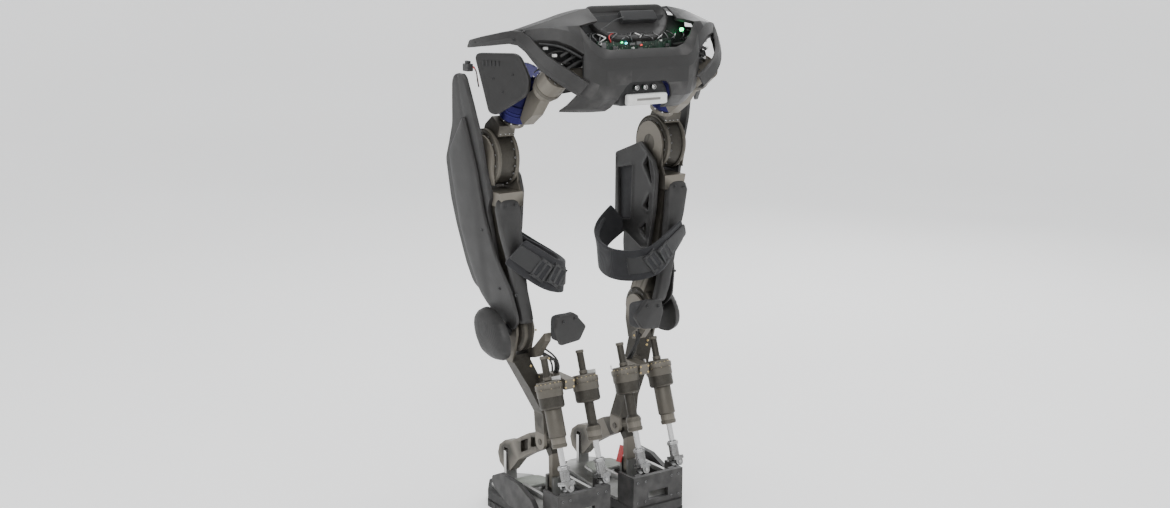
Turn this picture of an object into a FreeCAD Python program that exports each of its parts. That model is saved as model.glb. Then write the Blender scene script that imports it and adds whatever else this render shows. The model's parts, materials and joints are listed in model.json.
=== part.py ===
"""Walking leg robot: a pelvis unit with two powered legs, each with three hip drives, a knee drive,
two linear ankle drives and a foot.  Millimetres, +Z up, +Y the way the machine walks, +X to its right.
The right leg is drawn, and the left leg is its mirror image about the plane x = 0."""
import FreeCAD, Part
import math
import os
from FreeCAD import Placement, Rotation, Vector

doc = FreeCAD.newDocument("walking_legs")
sheet = doc.addObject("Spreadsheet::Sheet", "Dimensions")

DIMENSIONS = [
    ("centre_shift", -15), ("wall", 5), ("running_gap", 0.08),
    # hip drives
    ("hip_swing_x", 192), ("hip_swing_y", -136), ("hip_swing_z", 1026), ("hip_swing_radius", 30),
    ("hip_swing_length", 52), ("hip_swing_pitch", 35), ("ring_radius", 27), ("ring_thickness", 10),
    ("hip_turn_x", 200), ("hip_turn_y", -20), ("hip_turn_z", 990), ("hip_turn_radius", 33),
    ("hip_turn_length", 122), ("hip_turn_pitch", 60),
    ("hip_bend_y", 49), ("hip_bend_z", 850), ("hip_drum_radius", 62), ("hip_drum_width", 56),
    ("hip_drum_x", 196), ("hip_boss_radius", 20),
    # thigh
    ("cheek_thickness", 5), ("cheek_radius", 50), ("beam_top", 780), ("beam_bottom", 504),
    ("cover_lean", 10.8), ("side_cover_x", 263), ("side_cover_thickness", 11), ("blade_thickness", 9),
    ("truss_thickness", 8), ("truss_x", 177),
    # knee
    ("knee_y", 45), ("knee_z", 462), ("knee_drum_radius", 50), ("knee_drum_x", 156), ("knee_drum_width",
                                                                                      32),
    ("knee_cheek_radius", 34), ("knee_cheek_thickness", 6), ("knee_cap_x", 229), ("knee_cap_depth", 28),
    ("cap_stud_radius", 14),
    # ankle
    ("ankle_x", 104), ("ankle_y", 25), ("ankle_z", 192), ("hub_radius", 19), ("hub_width", 30),
    ("arm_width", 24), ("ear_thickness", 8), ("ankle_pin_radius", 7), ("roll_z", 104), ("roll_pin_radius",
                                                                                        6),
    # linear ankle drives
    ("drive_y", -48), ("drive_z", 346), ("drive_outer_x", 150), ("drive_inner_x", 55), ("drive_lean", 18.8),
    ("can_radius", 29), ("flange_radius", 31), ("neck_radius", 11), ("nose_radius", 16.5),
    ("screw_tube_radius", 8), ("trunnion_radius", 5), ("rod_radius", 6.5),
    ("drive_reach", 226),
    # foot
    ("sole_inner_x", 30), ("sole_outer_x", 180), ("sole_heel_y", -124), ("sole_toe_y", 236),
    ("sole_height", 40), ("plate_thickness", 7), ("heel_top", 113),
    ("rail_z", 82), ("guard_thickness", 12),
    # pelvis
    ("bar_width", 100), ("bar_height", 22), ("bar_depth", 18), ("bar_z", 983), ("connector_radius", 6),
]
for row, (alias, number) in enumerate(DIMENSIONS, start=1):
    sheet.set("A%d" % row, alias)
    sheet.set("B%d" % row, str(number))
    sheet.setAlias("B%d" % row, alias)
doc.recompute()
D = {alias: float(sheet.get(alias)) for alias, number in DIMENSIONS}

X_AXIS = Vector(1, 0, 0)
Y_AXIS = Vector(0, 1, 0)
Z_AXIS = Vector(0, 0, 1)
pieces = []


def keep(thing, label):
    """Name a finished piece, and list it for writing."""
    thing.Label = label
    pieces.append(thing)
    return thing


def bind(thing, **cells):
    """Bind properties of a document object to cells or formulas of the sheet."""
    for name, formula in cells.items():
        thing.setExpression(name, formula)
    return thing


def turned_to(axis):
    """The rotation that carries +Z to an axis."""
    return Rotation(Z_AXIS, axis)


def pitched(degrees):
    """The unit vector that points forward and down by an angle."""
    angle = math.radians(degrees)
    return Vector(0, math.cos(angle), -math.sin(angle))


def cylinder(name, centre, axis, radius, length):
    """A cylinder that starts at a point and runs along an axis; radius and length are formulas."""
    thing = doc.addObject("Part::Cylinder", name)
    bind(thing, Radius=radius, Height=length)
    thing.Placement = Placement(centre, turned_to(axis))
    return thing


def block(name, low, high):
    """A box between two corners."""
    thing = doc.addObject("Part::Box", name)
    thing.Length = high[0] - low[0]
    thing.Width = high[1] - low[1]
    thing.Height = high[2] - low[2]
    thing.Placement = Placement(Vector(*low), Rotation())
    return thing


def fused(name, things):
    """One solid made of several touching ones."""
    thing = doc.addObject("Part::MultiFuse", name)
    thing.Shapes = things
    thing.Refine = True
    return thing


def cut(name, base, tools):
    """A solid with other solids taken out of it."""
    tool = tools[0]
    if len(tools) > 1:
        tool = fused(name + "_tools", tools)
    thing = doc.addObject("Part::Cut", name)
    thing.Base = base
    thing.Tool = tool
    thing.Refine = True
    return thing


def origin_plane(body, role):
    """One of the body's own origin planes."""
    for feature in body.Origin.OriginFeatures:
        if feature.Role == role:
            return feature
    raise ValueError(role)


def rounded_corner(before_point, corner, after_point, limit):
    """The arc that rounds one corner, from its first to its last point, or None on a straight run.
    The limit takes the two sides' lengths and the half turn, and gives the setback."""
    before = before_point - corner
    after = after_point - corner
    half_turn = (math.pi - before.getAngle(after)) / 2
    if half_turn < 0.01:
        return None
    setback = limit(before.Length, after.Length, half_turn)
    radius = setback / math.tan(half_turn)
    first = corner + before.normalize() * setback
    last = corner + after.normalize() * setback
    inward = (before + after).normalize()
    middle = corner + inward * (radius / math.cos(half_turn) - radius)
    return Part.Arc(first, middle, last)


def corner_edges(points, radius):
    """The edges of a closed outline whose corners are rounded, as far as the sides allow."""
    def limit(before, after, half_turn):
        return min(radius * math.tan(half_turn), 0.42 * before, 0.42 * after)

    count = len(points)
    arcs = []
    for index, corner in enumerate(points):
        arc = rounded_corner(points[index - 1], corner, points[(index + 1) % count], limit)
        if arc:
            arcs.append(arc)
    edges = []
    for index, arc in enumerate(arcs):
        following = arcs[(index + 1) % len(arcs)]
        edges.append(arc)
        edges.append(Part.LineSegment(arc.value(arc.LastParameter),
                                      following.value(following.FirstParameter)))
    return edges


def outline(points, radius=0):
    """Sketch geometry for a closed outline of (across, up) points."""
    corners = [Vector(across, up, 0) for across, up in points]
    if radius:
        return corner_edges(corners, radius)
    return [Part.LineSegment(corners[i - 1], corners[i]) for i in range(len(corners))]


def plate(name, plane, outlines, thickness, radius=0):
    """A PartDesign plate: outlines on an origin plane (the first is the rim, the others are holes),
    padded by a formula along the plane's normal."""
    body = doc.addObject("PartDesign::Body", name)
    sketch = body.newObject("Sketcher::SketchObject", name + "_sketch")
    sketch.AttachmentSupport = (origin_plane(body, plane), [""])
    sketch.MapMode = "FlatFace"
    for points in outlines:
        sketch.addGeometry(outline(points, radius), False)
    pad = body.newObject("PartDesign::Pad", name + "_pad")
    pad.Profile = sketch
    bind(pad, Length=thickness)
    body.Tip = pad
    return body


def side_plate(name, outlines, x, thickness, radius=0, lean=0):
    """A plate in the side view: outlines of (y, z) points, from x outward, leaning about Y."""
    body = plate(name, "YZ_Plane", outlines, thickness, radius)
    body.Placement = Placement(Vector(x, 0, 0), Rotation(Y_AXIS, lean))
    return body


def flat_plate(name, outlines, z, thickness, radius=0):
    """A plate in the top view: outlines of (x, y) points, from z upward."""
    body = plate(name, "XY_Plane", outlines, thickness, radius)
    body.Placement = Placement(Vector(0, 0, z), Rotation())
    return body


def turning(name, profile):
    """A PartDesign revolution about Z of a profile of (radius, height) points."""
    body = doc.addObject("PartDesign::Body", name)
    sketch = body.newObject("Sketcher::SketchObject", name + "_sketch")
    sketch.AttachmentSupport = (origin_plane(body, "XZ_Plane"), [""])
    sketch.MapMode = "FlatFace"
    sketch.addGeometry(outline(profile), False)
    turned = body.newObject("PartDesign::Revolution", name + "_turned")
    turned.Profile = sketch
    turned.ReferenceAxis = (sketch, ["V_Axis"])
    turned.Angle = 360
    body.Tip = turned
    return body


def loft(name, rings):
    """A straight-sided loft through closed rings of (x, y, z) points, all with the same count."""
    thing = doc.addObject("Part::Feature", name)
    wires = [Part.makePolygon([Vector(*point) for point in ring + ring[:1]]) for ring in rings]
    thing.Shape = Part.makeLoft(wires, True, True)
    return thing


def circle_points(centre_y, centre_z, radius, first, last, count):
    """Points (y, z) on an arc, between two angles in degrees."""
    angles = [math.radians(first + (last - first) * i / (count - 1)) for i in range(count)]
    return [(centre_y + radius * math.cos(a), centre_z + radius * math.sin(a)) for a in angles]


# ---------------------------------------------------------------- pelvis unit

def shoulder_section(x, drop, back):
    """One end of the roof panel that runs from the hatch out to the shoulder."""
    outer = [(-70, 1171), (-128, 1168), (-160, 1146)]
    inner = [(-155, 1141), (-126, 1162), (-70, 1165)]
    return [(x, y + back, z - drop) for y, z in outer + inner]


def roof_panels():
    """The two roof panels, one each side of the hatch, from its edge out to the shoulder."""
    right = loft("roof_right", [shoulder_section(108, 0, 0), shoulder_section(152, 16, -2),
                                shoulder_section(242, 48, 42)])
    left = doc.addObject("Part::Mirroring", "roof_left")
    left.Source = right
    left.Normal = X_AXIS
    return [right, left]


def shell_ring(level, rear, half_width, front, chamfer):
    """The plan of the back shell's wall at one height: a channel, open to the front."""
    wall = D["wall"]
    outer = [(half_width, front), (half_width, rear + chamfer), (half_width - chamfer, rear),
             (chamfer - half_width, rear), (-half_width, rear + chamfer), (-half_width, front)]
    inner = [(wall - half_width, front), (wall - half_width, rear + chamfer + wall * 0.4),
             (chamfer - half_width + wall * 0.4, rear + wall), (half_width - chamfer - wall * 0.4,
                                                                rear + wall),
             (half_width - wall, rear + chamfer + wall * 0.4), (half_width - wall, front)]
    return [(x, y, level) for x, y in outer + inner]


def back_shell():
    """The moulded rear shell, with a slot under the hatch, an inlet opening and open corners, and its two
    roof panels."""
    levels = [(958, -160, 138, -105, 26), (985, -186, 150, -100, 24), (1023, -200, 156, -95, 20),
              (1072, -198, 143, -92, 22), (1112, -178, 150, -90, 24), (1142, -160, 152, -88, 26)]
    wall = loft("shell_wall", [shell_ring(*level) for level in levels])
    slot = plate("shell_slot", "XZ_Plane", [[(-68, 1079), (68, 1079), (140, 1150), (-140, 1150)]], "200", 6)
    slot.Placement = Placement(Vector(0, -60, 0), Rotation())
    inlet = plate("shell_inlet", "XZ_Plane", [[(-50, 972), (50, 972), (40, 1013), (-40, 1013)]], "200", 8)
    inlet.Placement = Placement(Vector(0, -60, 0), Rotation())
    corners = block("shell_corners", (-200, -174, 1008), (200, -60, 1104))
    group = doc.addObject("Part::Compound", "back_shell_group")
    group.Links = [cut("back_shell_body", wall, [slot, inlet, corners])] + roof_panels()
    keep(group, "back_shell")


def rail_section(x, y, z, width, tall, lean):
    """A slice across the side rail: a thin upright rectangle, turned about Z by its lean."""
    angle = math.radians(lean)
    across = Vector(math.cos(angle), math.sin(angle), 0)
    centre = Vector(x, y, z)
    corners = []
    for side, height in ((-1, -1), (1, -1), (1, 1), (-1, 1)):
        point = centre + across * (side * width / 2) + Z_AXIS * (height * tall / 2)
        corners.append((point.x, point.y, point.z))
    return corners


def side_rails():
    """The moulded rail each side: a wing over the hip, turning down and in under the back shell."""
    wing = loft("wing_right", [rail_section(292, 46, 1098, 6, 10, 0), rail_section(282, -20, 1106, 7, 18,
                                                                                   0),
                               rail_section(262, -84, 1113, 8, 26, 0), rail_section(250, -112, 1112, 8, 34,
                                                                                    20)])
    strut = loft("strut_right", [rail_section(250, -112, 1112, 8, 34, 20),
                                 rail_section(240, -150, 1088, 9, 44, 30),
                                 rail_section(222, -182, 1044, 9, 48, 50),
                                 rail_section(184, -190, 996, 9, 40, 70)])
    right = fused("rail_right", [wing, strut])
    left = doc.addObject("Part::Mirroring", "rail_left")
    left.Source = right
    left.Normal = X_AXIS
    pair = doc.addObject("Part::Compound", "rail_pair")
    pair.Links = [right, left]
    keep(pair, "side_rails")


def hatch_cover():
    """The raised hatch on top, a six-sided pod that leans forward."""
    def ring(level, half, rear, front, slope):
        middle = (rear + front) / 2
        return [(half - slope, rear, level), (half, middle, level), (half - slope, front, level),
                (slope - half, front, level), (-half, middle, level), (slope - half, rear, level)]
    keep(loft("hatch", [ring(1106, 70, -164, -74, 12), ring(1160, 106, -138, -70, 12),
                        ring(1184, 80, -120, -74, 12)]), "hatch_cover")


def pelvis_frame():
    """The welded frame that carries both hip swing drives."""
    beam = block("frame_beam", (-150, -148, 1012), (150, -118, 1050))
    bridge = block("frame_bridge", (-60, -118, 1020), (60, -98, 1080))
    right = block("frame_arm_right", (150, -150, 1016), (161.5, -120, 1046))
    left = block("frame_arm_left", (-161.5, -150, 1016), (-150, -120, 1046))
    post = block("frame_post", (-40, -148, 1050), (40, -136, 1104))
    tray = block("frame_tray", (-60, -148, 1104), (60, -80, 1105.5))
    keep(fused("frame_welded", [beam, bridge, right, left, post, tray]), "pelvis_frame")


def electronics():
    """The controller board behind the slot, its status lamp, and the inlet block with three sockets."""
    board = block("controller_board", (-96, -154, 1062), (96, -150, 1103))
    lamp = cylinder("status_lamp", Vector(88, -154, 1096), -Y_AXIS, "4", "5")
    inlet = block("inlet_block", (-46, -186, 1000), (46, -150, 1014))
    sockets = []
    for place in (-22, 0, 22):
        sockets.append(cylinder("inlet_socket", Vector(place, -185, 1007), -Y_AXIS,
                                "Dimensions.connector_radius - 1", "7"))
    group = doc.addObject("Part::Compound", "electronics_group")
    group.Links = [board, lamp, fused("inlet_set", [inlet] + sockets)]
    keep(group, "electronics")


def carry_bar():
    """The pale bar under the inlet, rounded at its ends."""
    bar = doc.addObject("Part::Box", "bar_blank")
    bind(bar, Length="Dimensions.bar_width", Width="Dimensions.bar_depth", Height="Dimensions.bar_height")
    bar.Placement = Placement(Vector(-D["bar_width"] / 2, -206, D["bar_z"] - D["bar_height"] / 2),
                              Rotation())
    doc.recompute()
    rounded = doc.addObject("Part::Fillet", "bar_rounded")
    rounded.Base = bar
    rounded.Edges = [(edge + 1, 6.0, 6.0) for edge in range(12)]
    keep(rounded, "carry_bar")


def cord_path(points):
    """A wire of straight runs joined by the largest tangent arcs that the runs allow."""
    def limit(before, after, half_turn):
        return 0.45 * min(before, after)

    corners = [Vector(*point) for point in points]
    edges = []
    start = corners[0]
    for index in range(1, len(corners) - 1):
        arc = rounded_corner(corners[index - 1], corners[index], corners[index + 1], limit).toShape()
        print("cord arc radius", round(arc.Curve.Radius, 1))
        edges.append(Part.LineSegment(start, arc.firstVertex().Point).toShape())
        edges.append(arc)
        start = arc.lastVertex().Point
    edges.append(Part.LineSegment(start, corners[-1]).toShape())
    return Part.Wire(edges)


def cord(name, points, radius):
    """A round cable along a path, checked against its section times its length."""
    path = cord_path(points)
    way = path.Edges[0].tangentAt(path.Edges[0].FirstParameter)
    ring = Part.Wire(Part.makeCircle(radius, Vector(*points[0]), way))
    thing = doc.addObject("Part::Feature", name)
    thing.Shape = path.makePipeShell([ring], True, True)
    expected = math.pi * radius ** 2 * path.Length
    print(name, "length", round(path.Length, 1), "volume ratio", round(thing.Shape.Volume / expected, 3))
    return thing


def pelvis_cables():
    """The drive cables that cross each corner opening, from the frame to the hip swing drive."""
    cables = []
    for side in (-1, 1):
        for index in range(3):
            inner = 112 - 6 * index
            level = 1088 - 14 * index
            route = [(side * inner, -140, level), (side * (inner + 26), -152, level + 6),
                     (side * (inner + 52), -160, level + 2), (side * (inner + 76), -158, level - 12)]
            cables.append(cord("pelvis_cable", route, 3))
    group = doc.addObject("Part::Compound", "pelvis_cable_group")
    group.Links = cables
    keep(group, "pelvis_cables")


def hip_swing_drives():
    """The housings of the two hip swing drives, fixed to the pelvis frame."""
    axis = pitched(D["hip_swing_pitch"])
    centre = Vector(D["hip_swing_x"], D["hip_swing_y"], D["hip_swing_z"])
    right = cylinder("swing_drive_right", centre - axis * 22, axis,
                     "Dimensions.hip_swing_radius", "Dimensions.hip_swing_length")
    left = doc.addObject("Part::Mirroring", "swing_drive_left")
    left.Source = right
    left.Normal = X_AXIS
    pair = doc.addObject("Part::Compound", "swing_drive_pair")
    pair.Links = [right, left]
    keep(pair, "hip_swing_drives")


# ---------------------------------------------------------------- one leg (drawn for the right side)

leg_pieces = []


def leg(thing, label):
    """Name a piece of the right leg, and list it for mirroring."""
    keep(thing, label + "_right")
    leg_pieces.append((thing, label))


def hip_yoke():
    """The output ring of the swing drive, with the bracket that carries the hip turn drive."""
    axis = pitched(D["hip_swing_pitch"])
    centre = Vector(D["hip_swing_x"], D["hip_swing_y"], D["hip_swing_z"])
    ring = cylinder("swing_ring", centre + axis * 30.5, axis,
                    "Dimensions.ring_radius", "Dimensions.ring_thickness")
    bracket = side_plate("turn_bracket", [[(-104, 1011), (-84, 1006), (-61.1, 995.1), (-28.6, 938.8),
                                           (-40, 926), (-78, 950), (-116, 992)]], 180, "26")
    leg(fused("hip_yoke_body", [ring, bracket]), "hip_yoke")


def hip_turn_drive():
    """The anodised drum of the hip turn drive, with a stepped rim at each end."""
    half = D["hip_turn_length"] / 2
    radius = D["hip_turn_radius"]
    drum = turning("turn_drum", [(0, -half), (radius - 5, -half), (radius, 6 - half), (radius, -16),
                                 (radius - 2, -14), (radius - 2, 14), (radius, 16), (radius, half - 6),
                                 (radius - 5, half), (0, half)])
    drum.Placement = Placement(Vector(D["hip_turn_x"], D["hip_turn_y"], D["hip_turn_z"]),
                               turned_to(pitched(D["hip_turn_pitch"])))
    leg(drum, "hip_turn_drive")


def hip_cover():
    """The moulded shield outside the hip turn drive."""
    rim = [(72, 1078), (-36, 1080), (-62, 1026), (-54, 994), (20, 950), (38, 954), (56, 1022)]
    shield = plate("hip_shield", "YZ_Plane", [rim], "8", 14)
    stand = block("hip_stand", (-26, -14, 1004), (0.5, 10, 1026))
    raised = fused("hip_cover_blank", [shield, stand])
    raised.Placement = Placement(Vector(251, -46, 0), Rotation(Z_AXIS, -30))
    axis = pitched(D["hip_turn_pitch"])
    centre = Vector(D["hip_turn_x"], D["hip_turn_y"], D["hip_turn_z"])
    drum_room = cylinder("turn_room", centre - axis * 90, axis, "Dimensions.hip_turn_radius + 0.02", "180")
    leg(cut("hip_cover_body", raised, [drum_room]), "hip_cover")


def hip_drum():
    """The hip bend drive: a large drum across the leg, with the neck that hangs it from the turn drive."""
    width, radius, boss = D["hip_drum_width"], D["hip_drum_radius"], D["hip_boss_radius"]
    reach = D["cheek_thickness"] + 0.5
    drum = turning("bend_drum", [(0, -reach), (boss, -reach), (boss, 0), (radius - 6, 0), (radius, 5),
                                 (radius, 11), (radius - 3, 12), (radius - 3, width - 12),
                                 (radius, width - 11), (radius, width - 5), (radius - 6, width),
                                 (boss, width), (boss, width + reach), (0, width + reach)])
    drum.Placement = Placement(Vector(D["hip_drum_x"], D["hip_bend_y"], D["hip_bend_z"]), turned_to(X_AXIS))
    axis = pitched(D["hip_turn_pitch"])
    end = Vector(D["hip_turn_x"], D["hip_turn_y"],
                 D["hip_turn_z"]) + axis * (D["hip_turn_length"] / 2 + 0.5)
    flange = cylinder("turn_flange", end, axis, "28", "9")
    neck = side_plate("hip_neck", [[(-4, 922), (26, 942), (56, 922), (66, 904), (66, 890), (20, 890), (2,
                                                                                                       900)]],
                      202, "40", 3)
    leg(fused("hip_drum_body", [drum, flange, neck]), "hip_drum")


def cover_plane(offset):
    """A placement on the leaning plane of the thigh's outer covers, at a distance outward from it."""
    plane = Placement(Vector(D["side_cover_x"], 0, D["hip_bend_z"]), Rotation(Y_AXIS, D["cover_lean"]))
    return plane * Placement(Vector(offset, 0, 0), Rotation())


def thigh_frame():
    """The light alloy frame: two cheeks on the hip drum's bosses, the beam down to the knee drive and
    the stand-offs of the truss, with its outer side planed to the lean of the covers."""
    y, z = D["hip_bend_y"], D["hip_bend_z"]
    thickness = D["cheek_thickness"]
    inner_x = D["hip_drum_x"] - 0.5 - thickness
    outer_x = D["hip_drum_x"] + D["hip_drum_width"] + 0.5
    top_arc = circle_points(y, z, D["cheek_radius"], -20, 200, 12)
    rim = [top_arc + [(2, 800), (-14, 772), (-14, 748), (70, 748), (92, 780)]]
    cheeks = [side_plate("thigh_cheek", rim, x, "Dimensions.cheek_thickness") for x in (inner_x, outer_x)]
    head = block("beam_head", (inner_x, -14, 748), (outer_x + thickness, 70, D["beam_top"]))
    beam = loft("thigh_beam", [[(196, 0, 748), (240, 0, 748), (240, 60, 748), (196, 60, 748)],
                               [(186, 8, 600), (212, 8, 600), (212, 66, 600), (186, 66, 600)],
                               [(156, 18, D["beam_bottom"]), (188, 18, D["beam_bottom"]),
                                (188, 72, D["beam_bottom"]), (156, 72, D["beam_bottom"])]])
    truss_face = D["truss_x"] + D["truss_thickness"]
    stands = []
    for place_y, place_z in ((14, 786), (78, 790)):
        stands.append(cylinder("truss_stand", Vector(truss_face, place_y, place_z), X_AXIS, "7",
                               str(inner_x - truss_face + 1)))
    whole = fused("thigh_frame_whole", cheeks + [head, beam] + stands)
    knee_room = cylinder("knee_drive_room", Vector(150, D["knee_y"], D["knee_z"]), X_AXIS,
                         "Dimensions.knee_drum_radius", "60")
    boss_room = cylinder("boss_room", Vector(180, y, z), X_AXIS,
                         "Dimensions.hip_boss_radius + Dimensions.running_gap", "90")
    planing = block("planing", (0, -60, -200), (60, 160, 100))
    planing.Placement = cover_plane(-0.1) * planing.Placement
    leg(cut("thigh_frame_body", whole, [knee_room, boss_room, planing]), "thigh_frame")


def channel_ring(level, inner_x, outer_x, rear, outer_y):
    """The rear cover's wall at one height: from its inner edge, round the back, to its outer edge."""
    wall = 4
    outer = [(inner_x, rear + 30), (inner_x, rear + 5), (inner_x + 5, rear), (outer_x - 20, rear),
             (outer_x, rear + 18), (outer_x + 2, outer_y)]
    inner = [(outer_x - 2, outer_y), (outer_x - 4, rear + 20), (outer_x - 22, rear + wall),
             (inner_x + 6, rear + wall), (inner_x + wall, rear + 6), (inner_x + wall, rear + 30)]
    return [(x, y, level) for x, y in outer + inner]


def thigh_rear_cover():
    """The long rear cover, arched at its top and narrowing towards the knee."""
    levels = [(766, 208, 246, -22, 8), (752, 196, 256, -22, 16), (640, 190, 231, -22, 12), (560, 180, 214,
                                                                                            -22, 10),
              (500, 168, 200, -22, 10), (478, 162, 194, -22, 12)]
    wall = loft("rear_cover_wall", [channel_ring(*level) for level in levels])
    flank_room = block("flank_room", (150, -1, 470), (262, 80, 790))
    head_room = block("head_room", (180, -15, 746), (262, 80, 790))
    knee_room = cylinder("knee_swing_room", Vector(140, D["knee_y"], D["knee_z"]), X_AXIS, "64", "80")
    leg(cut("rear_cover_body", wall, [flank_room, head_room, knee_room]), "thigh_rear_cover")


def thigh_side_cover():
    """The long outer cover, from beside the hip down the front of the thigh."""
    rim = [(74, 1036), (90, 1020), (107, 975), (126, 922), (161, 872), (186, 838), (198, 746), (196, 682),
           (184, 590), (168, 545), (134, 526), (96, 536), (40, 600), (36, 740), (14, 767), (18, 834), (16,
                                                                                                       910),
           (24, 975), (32, 1028), (40, 1036)]
    cover = side_plate("side_cover", [[(y, z - D["hip_bend_z"]) for y, z in rim]], 0,
                       "Dimensions.side_cover_thickness", 6)
    cover.Placement = cover_plane(0)
    leg(cover, "thigh_side_cover")


def thigh_blade():
    """The raised outer panel on the side cover, pointed at the top and swept back to the knee."""
    rim = [(54, 950), (148, 862), (155, 824), (160, 753), (164, 688), (152, 609), (130, 534), (92, 498),
           (46, 482),
           (10, 462), (-22, 490), (-12, 560), (28, 637), (44, 723), (42, 831)]
    cover = side_plate("blade", [[(y, z - D["hip_bend_z"]) for y, z in rim]], 0,
                       "Dimensions.blade_thickness", 10)
    cover.Placement = cover_plane(D["side_cover_thickness"] + 0.05)
    leg(cover, "thigh_blade")


def thigh_truss():
    """The inner bracket: a slotted, triangulated plate that reaches forward of the thigh."""
    rim = [(66, 852), (166, 816), (168, 640), (120, 628), (60, 600), (30, 606), (10, 700), (2, 780), (14,
                                                                                                      812)]
    slot = [(124, 792), (154, 782), (154, 656), (124, 656)]
    windows = [[(66, 818), (78, 760), (40, 770)], [(30, 740), (72, 700), (40, 670)],
               [(40, 640), (84, 664), (84, 622)]]
    leg(side_plate("truss", [rim, slot] + windows, D["truss_x"], "Dimensions.truss_thickness", 4),
        "thigh_truss")


def cuff_ring(x, y, z, across_x, across_y, tilt):
    """A slice across the thigh cuff: a thin, tall rectangle."""
    length = math.hypot(across_x, across_y)
    out = Vector(across_x / length, across_y / length, 0) * 3.5
    up = Vector(0, tilt, 1).normalize() * 36
    centre = Vector(x, y, z)
    corners = [centre - out - up, centre + out - up, centre + out + up, centre - out + up]
    return [(p.x, p.y, p.z) for p in corners]


def thigh_cuff():
    """The soft strap that loops behind the wearer's thigh, from the truss round to the rear cover."""
    leg(loft("cuff_loop", [cuff_ring(172.5, 150, 640, -1, 0, 0), cuff_ring(140, 148, 628, -0.5, 1, 0),
                           cuff_ring(96, 122, 606, -0.8, 0.6, 0), cuff_ring(70, 70, 588, -1, 0.1, 0),
                           cuff_ring(72, 10, 580, -1, -0.3, 0), cuff_ring(104, -34, 586, -0.6, -0.8, 0),
                           cuff_ring(150, -52, 604, -0.1, -1, 0), cuff_ring(190, -42, 622, 0.25, -1, 0),
                           cuff_ring(216, -28, 634, 0.2, -1, 0)]), "thigh_cuff")


def knee_drive():
    """The knee drive's drum, between the two cheeks of the shank."""
    width, radius, stud = D["knee_drum_width"], D["knee_drum_radius"], D["cap_stud_radius"]
    drum = turning("knee_drum", [(0, -7.5), (stud, -7.5), (stud, 0), (radius - 6, 0), (radius, 5),
                                 (radius, width - 5), (radius - 6, width), (0, width)])
    drum.Placement = Placement(Vector(D["knee_drum_x"], D["knee_y"], D["knee_z"]), turned_to(X_AXIS))
    leg(drum, "knee_drive")


def knee_cap():
    """The domed guard at the outside and front of the knee."""
    rim = [(127, 474), (112, 500), (84, 512), (40, 508), (4, 486), (-16, 452), (-14, 420), (10, 402),
           (50, 398), (92, 408), (118, 440)]
    base = side_plate("cap_base", [rim], D["knee_cap_x"], "Dimensions.knee_cap_depth / 2", 14)
    crown_rim = [(y * 0.72 + 14, (z - 456) * 0.72 + 456) for y, z in rim]
    crown = side_plate("cap_crown", [crown_rim], D["knee_cap_x"] + D["knee_cap_depth"] / 2,
                       "Dimensions.knee_cap_depth / 2", 14)
    stand = cylinder("cap_stand", Vector(D["knee_drum_x"] + D["knee_drum_width"], D["knee_y"], D["knee_z"]),
                     X_AXIS, "Dimensions.cap_stud_radius",
                     "Dimensions.knee_cap_x - Dimensions.knee_drum_x - Dimensions.knee_drum_width + 1")
    leg(fused("knee_cap_body", [base, crown, stand]), "knee_cap")


def shank_frame():
    """The shank: two cheeks on the knee drive, a tapered beam, the arm to the shin rest, the ankle
    drives' bracket and the ankle ears."""
    y, z = D["knee_y"], D["knee_z"]
    head = circle_points(y, z, D["knee_cheek_radius"], -10, 190, 10)
    cheek = [head + [(22, 420), (30, 392), (70, 392), (80, 430)]]
    outer = side_plate("shank_cheek_outer", cheek, 189.5, "Dimensions.knee_cheek_thickness")
    inner = side_plate("shank_cheek_inner", cheek, 148.5, "Dimensions.knee_cheek_thickness")
    saddle = block("shank_saddle", (148.5, 30, 388), (195.5, 70, 405))
    beam = loft("shank_beam", [[(150, 30, 392), (194, 30, 392), (194, 68, 392), (150, 68, 392)],
                               [(126, 10, 330), (164, 10, 330), (164, 56, 330), (126, 56, 330)],
                               [(96, 4, 262), (132, 4, 262), (132, 44, 262), (96, 44, 262)],
                               [(79, 6, 214), (129, 6, 214), (129, 44, 214), (79, 44, 214)]])
    ears = []
    for x in (D["ankle_x"] - D["hub_width"] / 2 - 1.5 - D["ear_thickness"],
              D["ankle_x"] + D["hub_width"] / 2 + 1.5):
        rim = [(6, 216), (44, 216)] + circle_points(D["ankle_y"], D["ankle_z"], 19, 0, -180, 9)
        ears.append(side_plate("ankle_ear", [rim], x, "Dimensions.ear_thickness"))
    bracket = block("drive_bracket", (90, -60, 334), (115, 12, 358))
    web = block("drive_web", (90, 4, 318), (140, 14, 358))
    shin_rim = [(-36, 466), (-36, 446), (4, 400), (36, 392), (36, 408), (10, 424)]
    shin_arm = side_plate("shin_arm", [shin_rim], 136, "16", 2)
    whole = fused("shank_whole", [outer, inner, saddle, beam, bracket, web, shin_arm] + ears)
    trunnions = cylinder("trunnion_bore", Vector(80, D["drive_y"], D["drive_z"]), X_AXIS,
                         "Dimensions.trunnion_radius + Dimensions.running_gap", "50")
    hub_room = cylinder("hub_room", Vector(D["ankle_x"] - D["hub_width"] / 2 - 1.5, D["ankle_y"],
                                           D["ankle_z"]),
                        X_AXIS, "26", "Dimensions.hub_width + 3")
    pin_bore = cylinder("ankle_bore", Vector(60, D["ankle_y"], D["ankle_z"]), X_AXIS,
                        "Dimensions.ankle_pin_radius + Dimensions.running_gap", "100")
    drum_room = cylinder("knee_room", Vector(155, y, z), X_AXIS, "56", "34")
    stud_bore = cylinder("stud_bore", Vector(140, y, z), X_AXIS,
                         "Dimensions.cap_stud_radius + Dimensions.running_gap", "60")
    leg(cut("shank_frame_body", whole, [trunnions, hub_room, pin_bore, drum_room, stud_bore]),
        "shank_frame")


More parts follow.
